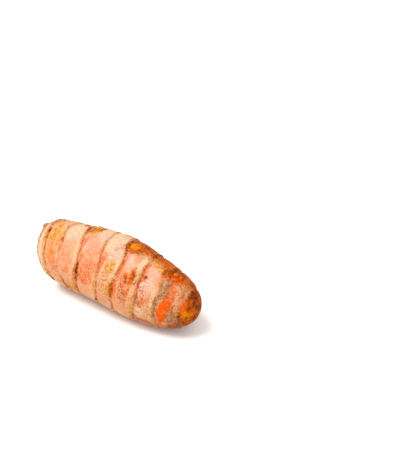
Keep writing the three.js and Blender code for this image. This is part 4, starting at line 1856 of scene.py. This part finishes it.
@dataclass(frozen=True)
class RootStubs:
    """The short stumps of the side roots: low domes with a sunken dark middle, in millimetres.

    The drawn stubs stand on both sides of the underside, at angles counted from straight down.
    """

    form: FingerForm
    seed: int = 7
    seed_factor: int = 16807
    seed_range: int = 2147483647
    count: int = 9
    sideways: tuple[float, float] = (38, 64)
    ahead: tuple[float, float] = (-0.4, 1.2)
    radius: tuple[float, float] = (0.55, 0.85)
    height: tuple[float, float] = (0.3, 0.6)
    placed: tuple[Stub, ...] = (
        Stub(0, 9, 0.6, 0.95, 0.6, -0.6, 0.1), Stub(3, -14, -2, 0.6, 0.6, 0, 0.6),
        Stub(8, 146, 3.3, 0.7, 0.35, 1.6, 0.6),
    )
    brown: float = 0.6
    foot_share: float = 1.2
    pit_share: float = 0.45
    pit_depth: float = 0.5
    sides: int = 28
    rings: int = 20

    def stubs(self) -> list[Stub]:
        """The set stubs first and then the drawn ones.

        Returns:
            Every stub of the finger.
        """
        stubs = list(self.placed)
        spans = (self.sideways, self.ahead, self.radius, self.height)
        state = self.seed
        for number in range(self.count):
            drawn = []
            for low, high in spans:
                state = state * self.seed_factor % self.seed_range
                drawn.append(low + (high - low) * (state / self.seed_range))
            turn, ahead, radius, height = drawn
            angle = 180 + turn if number % 2 == 0 else 180 - turn
            ring = 1 + number % (self.form.last_ring - 1)
            stubs.append(Stub(ring, angle, ahead, radius, height, 0, self.brown))
        return stubs

    def places(self) -> Perch:
        """Where the stubs stand, and the tones that they are stained with.

        Returns:
            One place for each stub.
        """
        stubs = self.stubs()
        rows = []
        for stub in stubs:
            theta = np.radians(np.array([float(stub.angle)]))
            point = self.form.on_skin(stub.ring, theta, np.array([float(stub.ahead)]))[0]
            outward, around = directions(theta)
            leaning = outward[0] + np.array([stub.lean, 0, 0])
            foot = stub.radius * self.foot_share
            size = np.array([foot, foot, stub.height])
            rows.append((point, leaning / np.linalg.norm(leaning), around[0], size))
        brown = np.array([float(stub.brown) for stub in stubs])
        at_tip = np.array([float(stub.ring == self.form.last_ring) for stub in stubs])
        tones = {Tone.UMBER: brown, Tone.ASH: np.maximum(self.brown - brown, 0), Tone.TAWNY: at_tip}
        return Perch(*(np.array(column) for column in zip(*rows)), tones)

    def tree(self, material: Material) -> GeometryTree:
        """Builds the tree that stands one turned dome on each place.

        Args:
            material: what the stubs are made of.

        Returns:
            The tree.
        """
        inputs = {
            "Sides": ("NodeSocketInt", self.sides),
            "Rings": ("NodeSocketInt", self.rings),
            "Pit Share": ("NodeSocketFloat", self.pit_share),
            "Pit Depth": ("NodeSocketFloat", self.pit_depth),
        }
        stubs = GeometryTree("root_stubs", inputs)
        tree, entry = stubs.tree, stubs.entry
        cells = {"Segments": entry.outputs["Sides"], "Rings": entry.outputs["Rings"]}
        ball = add_node(tree, "GeometryNodeMeshUVSphere", {**cells, "Radius": 1.0})
        place = add_node(tree, "GeometryNodeInputPosition").outputs[0]
        height = add_node(tree, "ShaderNodeSeparateXYZ", {0: place}).outputs["Z"]
        level = {0: place, 1: (1.0, 1.0, 0.0)}
        flat = add_node(tree, "ShaderNodeVectorMath", level, operation="MULTIPLY").outputs[0]
        out = add_node(tree, "ShaderNodeVectorMath", {0: flat}, operation="LENGTH").outputs["Value"]
        near = {"Value": out, "From Min": 0.0, "From Max": entry.outputs["Pit Share"]}
        sinks = {"To Min": entry.outputs["Pit Depth"], "To Max": 0.0}
        sunken = {**near, **sinks}
        pit = add_node(tree, "ShaderNodeMapRange", sunken, interpolation_type="SMOOTHSTEP").outputs[0]
        top = add_node(tree, "ShaderNodeMath", {0: height, 1: 0.0}, operation="GREATER_THAN").outputs[0]
        sunk = add_node(tree, "ShaderNodeMath", {0: pit, 1: top}, operation="MULTIPLY").outputs[0]
        down = add_node(tree, "ShaderNodeMath", {0: sunk, 1: -1.0}, operation="MULTIPLY").outputs[0]
        shift = add_node(tree, "ShaderNodeCombineXYZ", {"Z": down}).outputs[0]
        moved = {"Geometry": ball.outputs["Mesh"], "Offset": shift}
        dome = add_node(tree, "GeometryNodeSetPosition", moved).outputs[0]
        darkened = {"Geometry": dome, "Name": Tone.SOOT.value, "Value": sunk}
        dark = add_node(tree, "GeometryNodeStoreNamedAttribute", darkened, data_type="FLOAT", domain="POINT")
        stubs.scatter(dark.outputs[0], material)
        return stubs


class Flake(NamedTuple):
    """One bigger remnant: its ring and angle, its place ahead of the ring, size, rise and ochre stain.

    Rise has how far its length goes along X and how far outwards.
    """

    ring: int
    angle: float
    ahead: float
    size: tuple[float, float, float]
    rise: tuple[float, float]
    ochre: float = 0


@dataclass(frozen=True)
class ScaleRemains:
    """Dry slivers of the fallen scale leaves, caught along the rings, in millimetres."""

    form: FingerForm
    seed: int = 23
    per_ring: int = 30
    behind: tuple[float, float] = (0.5, 1.1)
    length: tuple[float, float] = (0.3, 0.7)
    width: tuple[float, float] = (0.3, 0.8)
    thickness: float = 0.06
    lift: float = 0.05
    swing: float = 0.6
    taper: float = 0.7
    curl: float = 0.5
    cells: tuple[int, int, int] = (6, 4, 2)
    clean_share: float = 0.35
    rubbed_off: float = -0.93
    ash: float = 0.5
    umber: float = 0.25
    # Slivers on the shoulder's far side take its tawny and more umber, stain and painted shade at once.
    umber_shaded_and_stained: float = 0.35
    shaded_and_stained_side: tuple[float, float, float] = (0, 0.62, 0.79)
    shaded_and_stained_facing: Ramp = Ramp(0.5, 0.8)
    shaded_and_stained_from: Ramp = Ramp(2, 6)
    placed: tuple[Flake, ...] = (
        Flake(1, -30, -0.9, (1.9, 2.2, 0.4), (1, 0.14), 0.8),
        Flake(1, -22, -0.6, (1.4, 1.6, 0.25), (1, 0.15), 0.8),
        Flake(3, -10, -0.6, (1.0, 1.4, 0.2), (1, 0.2)),
        Flake(5, -12, -0.5, (1.0, 1.6, 0.2), (1, 0.15)),
    )

    def _placed_flake(self, flake: Flake) -> tuple[np.ndarray, ...]:
        """The place of one of the bigger remnants.

        Args:
            flake: the remnant.

        Returns:
            Its point, outward direction, heading, size and ochre stain, each as a list of one.
        """
        angle = np.radians(np.array([float(flake.angle)]))
        points = self.form.on_skin(flake.ring, angle, np.array([flake.ahead]))
        outward, _ = directions(angle)
        heading = flake.rise[0] * np.array([[1.0, 0, 0]]) + flake.rise[1] * outward
        return points, outward, heading, np.array([flake.size]), np.array([flake.ochre])

    def _drawn_slivers(self, ring: int, draw: np.random.Generator) -> tuple[np.ndarray, ...]:
        """The places of one ring's slivers, more of them where the ring is dirty and none underneath.

        Args:
            ring: the number of the ring.
            draw: the source of the drawn numbers.

        Returns:
            Their points, outward directions, headings, sizes and ochre stains.
        """
        angle = draw.uniform(0, FULL_TURN, self.per_ring)
        chance = self.clean_share + self.form.rings[ring].darkness(angle)
        kept = (np.cos(angle) >= self.rubbed_off) & (draw.uniform(0, 1, self.per_ring) < chance)
        angle = angle[kept]
        behind = draw.uniform(*self.behind, len(angle))
        points = self.form.on_skin(ring, angle, -behind)
        outward, around = directions(angle)
        swing = draw.normal(0, self.swing, len(angle))[:, None]
        heading = np.cos(swing) * np.array([1.0, 0, 0]) + np.sin(swing) * around + self.lift * outward
        length, width = draw.uniform(*self.length, len(angle)), draw.uniform(*self.width, len(angle))
        size = np.stack([length, width, np.full(len(angle), self.thickness)], axis=-1)
        return points, outward, heading, size, np.zeros(len(angle))

    def places(self) -> Perch:
        """Where the remnants sit, and the tones that they are stained and shaded with.

        Returns:
            One place for each remnant.
        """
        draw = np.random.default_rng(self.seed)
        columns = [self._placed_flake(flake) for flake in self.placed]
        columns += [self._drawn_slivers(ring, draw) for ring in range(1, self.form.last_ring + 1)]
        points, outward, heading, size, ochre = (np.concatenate(column) for column in zip(*columns))
        # The shoulder's stain and painted shade, as on the skin beneath.
        facing = self.shaded_and_stained_facing.at(outward @ np.array(self.shaded_and_stained_side))
        stained = facing * self.shaded_and_stained_from.at(points[:, 0])
        tones = {
            Tone.ASH: self.ash * (1 - stained) * (1 - ochre),
            Tone.UMBER: self.umber + self.umber_shaded_and_stained * stained,
            Tone.TAWNY: stained,
            Tone.OCHRE: ochre,
        }
        return Perch(points, outward, heading, size, tones)

    def tree(self, material: Material) -> GeometryTree:
        """Builds the tree that lays one tapered, curled sliver on each place.

        Args:
            material: what the slivers are made of.

        Returns:
            The tree.
        """
        slivers = GeometryTree(
            "scale_remains",
            {"Taper": ("NodeSocketFloat", self.taper), "Curl": ("NodeSocketFloat", self.curl)},
        )
        tree, entry = slivers.tree, slivers.entry
        cells = {f"Vertices {axis}": count for axis, count in zip("XYZ", self.cells)}
        plate = add_node(tree, "GeometryNodeMeshCube", {"Size": (1.0, 1.0, 1.0), **cells})
        place = add_node(tree, "GeometryNodeInputPosition").outputs[0]
        parts = add_node(tree, "ShaderNodeSeparateXYZ", {0: place}).outputs
        along = add_node(tree, "ShaderNodeMath", {0: parts["X"], 1: 0.5}, operation="ADD").outputs[0]
        tapered = {0: along, 1: entry.outputs["Taper"]}
        narrowed = add_node(tree, "ShaderNodeMath", tapered, operation="MULTIPLY").outputs[0]
        width = add_node(tree, "ShaderNodeMath", {0: 1.0, 1: narrowed}, operation="SUBTRACT").outputs[0]
        side = add_node(tree, "ShaderNodeMath", {0: parts["Y"], 1: width}, operation="MULTIPLY").outputs[0]
        bent = add_node(tree, "ShaderNodeMath", {0: along, 1: along}, operation="MULTIPLY").outputs[0]
        curled = {0: bent, 1: entry.outputs["Curl"], 2: parts["Z"]}
        rise = add_node(tree, "ShaderNodeMath", curled, operation="MULTIPLY_ADD").outputs[0]
        shaped = add_node(tree, "ShaderNodeCombineXYZ", {"X": along, "Y": side, "Z": rise})
        moved = {"Geometry": plate.outputs["Mesh"], "Position": shaped.outputs[0]}
        slivers.scatter(add_node(tree, "GeometryNodeSetPosition", moved).outputs[0], material)
        return slivers


class Lamp(NamedTuple):
    """A soft square light: its name, place and size in metres, and its power in watts."""

    name: str
    place: tuple[float, float, float]
    size: float
    power: float


@dataclass(frozen=True)
class Studio:
    """A plain pale floor, soft studio light, and the camera."""

    floor_half: float = 2.5
    floor_colour: str = "#F4F2F0"
    floor_roughness: float = 0.9
    floor_gloss: float = 0.1
    world_strength: float = 1.0
    lamps: tuple[Lamp, ...] = (
        Lamp("key", (-0.24, -0.28, 0.72), 0.5, 7.0), Lamp("fill", (0.1, -0.8, 0.22), 0.6, 1.6),
    )
    azimuth: float = 36.0
    elevation: float = 30.0
    distance: float = 0.48
    nearest: float = 0.01
    focal_px: float = 1440.0
    frame_px: tuple[int, int] = (400, 468)
    aim_mm: tuple[float, float, float] = (0, -0.4, 12.0)
    aim_px: tuple[float, float] = (119, 273)
    sensor_mm: float = 36.0

    def build(self) -> None:
        """Adds the floor, the world, the lights and the camera."""
        self._floor()
        self._world()
        for lamp in self.lamps:
            self._light(lamp)
        self._camera()
        bpy.context.scene.view_settings.view_transform = "Standard"

    def _floor(self) -> None:
        """The pale floor that the finger lies on."""
        half = self.floor_half
        mesh = bpy.data.meshes.new("floor")
        corners = [(-half, -half, 0), (half, -half, 0), (half, half, 0), (-half, half, 0)]
        mesh.from_pydata(corners, [], [(0, 1, 2, 3)])
        floor = add_object("floor", mesh)
        material = bpy.data.materials.new("matt_paper")
        material.use_nodes = True
        surface = material.node_tree.nodes["Principled BSDF"]
        surface.inputs["Base Color"].default_value = linear(self.floor_colour)
        surface.inputs["Roughness"].default_value = self.floor_roughness
        surface.inputs["Specular IOR Level"].default_value = self.floor_gloss
        mesh.materials.append(material)

    def _world(self) -> None:
        """An even white surround."""
        world = bpy.data.worlds.new("studio")
        world.use_nodes = True
        background = world.node_tree.nodes["Background"]
        background.inputs["Color"].default_value = (1, 1, 1, 1)
        background.inputs["Strength"].default_value = self.world_strength
        bpy.context.scene.world = world

    def _light(self, lamp: Lamp) -> None:
        """Adds a light, turned to the finger.

        Args:
            lamp: the light.
        """
        light = bpy.data.lights.new(lamp.name, "AREA")
        light.energy = lamp.power
        light.size = lamp.size
        item = add_object(lamp.name, light)
        item.location = lamp.place
        item.rotation_euler = (-Vector(lamp.place)).to_track_quat("-Z", "Y").to_euler()

    def _camera(self) -> None:
        """A long lens from the front right, looking down, with the finger low on the left."""
        a, e = math.radians(self.azimuth), math.radians(self.elevation)
        back = Vector((math.sin(a) * math.cos(e), -math.cos(a) * math.cos(e), math.sin(e)))
        right = Vector((math.cos(a), math.sin(a), 0))
        up = back.cross(right)
        across, down = (
            (aim - side / 2) / self.focal_px * self.distance for aim, side in zip(self.aim_px, self.frame_px)
        )
        place = Vector(self.aim_mm) * MM - across * right + down * up + self.distance * back
        camera = bpy.data.cameras.new("camera")
        camera.sensor_width = self.sensor_mm
        camera.lens = self.focal_px * self.sensor_mm / max(self.frame_px)
        camera.clip_start = self.nearest
        holder = add_object("camera", camera)
        turn = Matrix((right, up, back)).transposed()
        holder.matrix_world = Matrix.Translation(place) @ turn.to_4x4()
        bpy.context.scene.camera = holder


@dataclass(frozen=True)
class TurmericFinger:
    """The whole dressed finger."""

    skin: FingerSkin = field(default_factory=FingerSkin)
    relief: SkinRelief = field(default_factory=SkinRelief)
    finish: DrySkin = field(default_factory=DrySkin)

    def build(self) -> None:
        """Builds each piece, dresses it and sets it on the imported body."""
        material = self.finish.material()
        stubs, remains = RootStubs(self.skin.form), ScaleRemains(self.skin.form)
        skin = self.relief.tree(material).apply(self.skin.mesh("turmeric_finger"))
        skin.data.shade_smooth()
        pieces = (
            skin,
            stubs.tree(material).apply(stubs.places().piece("turmeric_root_stubs")),
            remains.tree(material).apply(remains.places().piece("turmeric_scale_remains")),
        )
        for piece in pieces:
            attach(piece, BODY)
            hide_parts(NODE)
            log.info("%s: %d faces", piece.name, len(piece.data.polygons))


def main() -> None:
    """Builds the studio and the finger, and notes the sizes."""
    logging.basicConfig(level=logging.INFO)
    Studio().build()
    TurmericFinger().build()


if __name__ == "__main__":
    main()
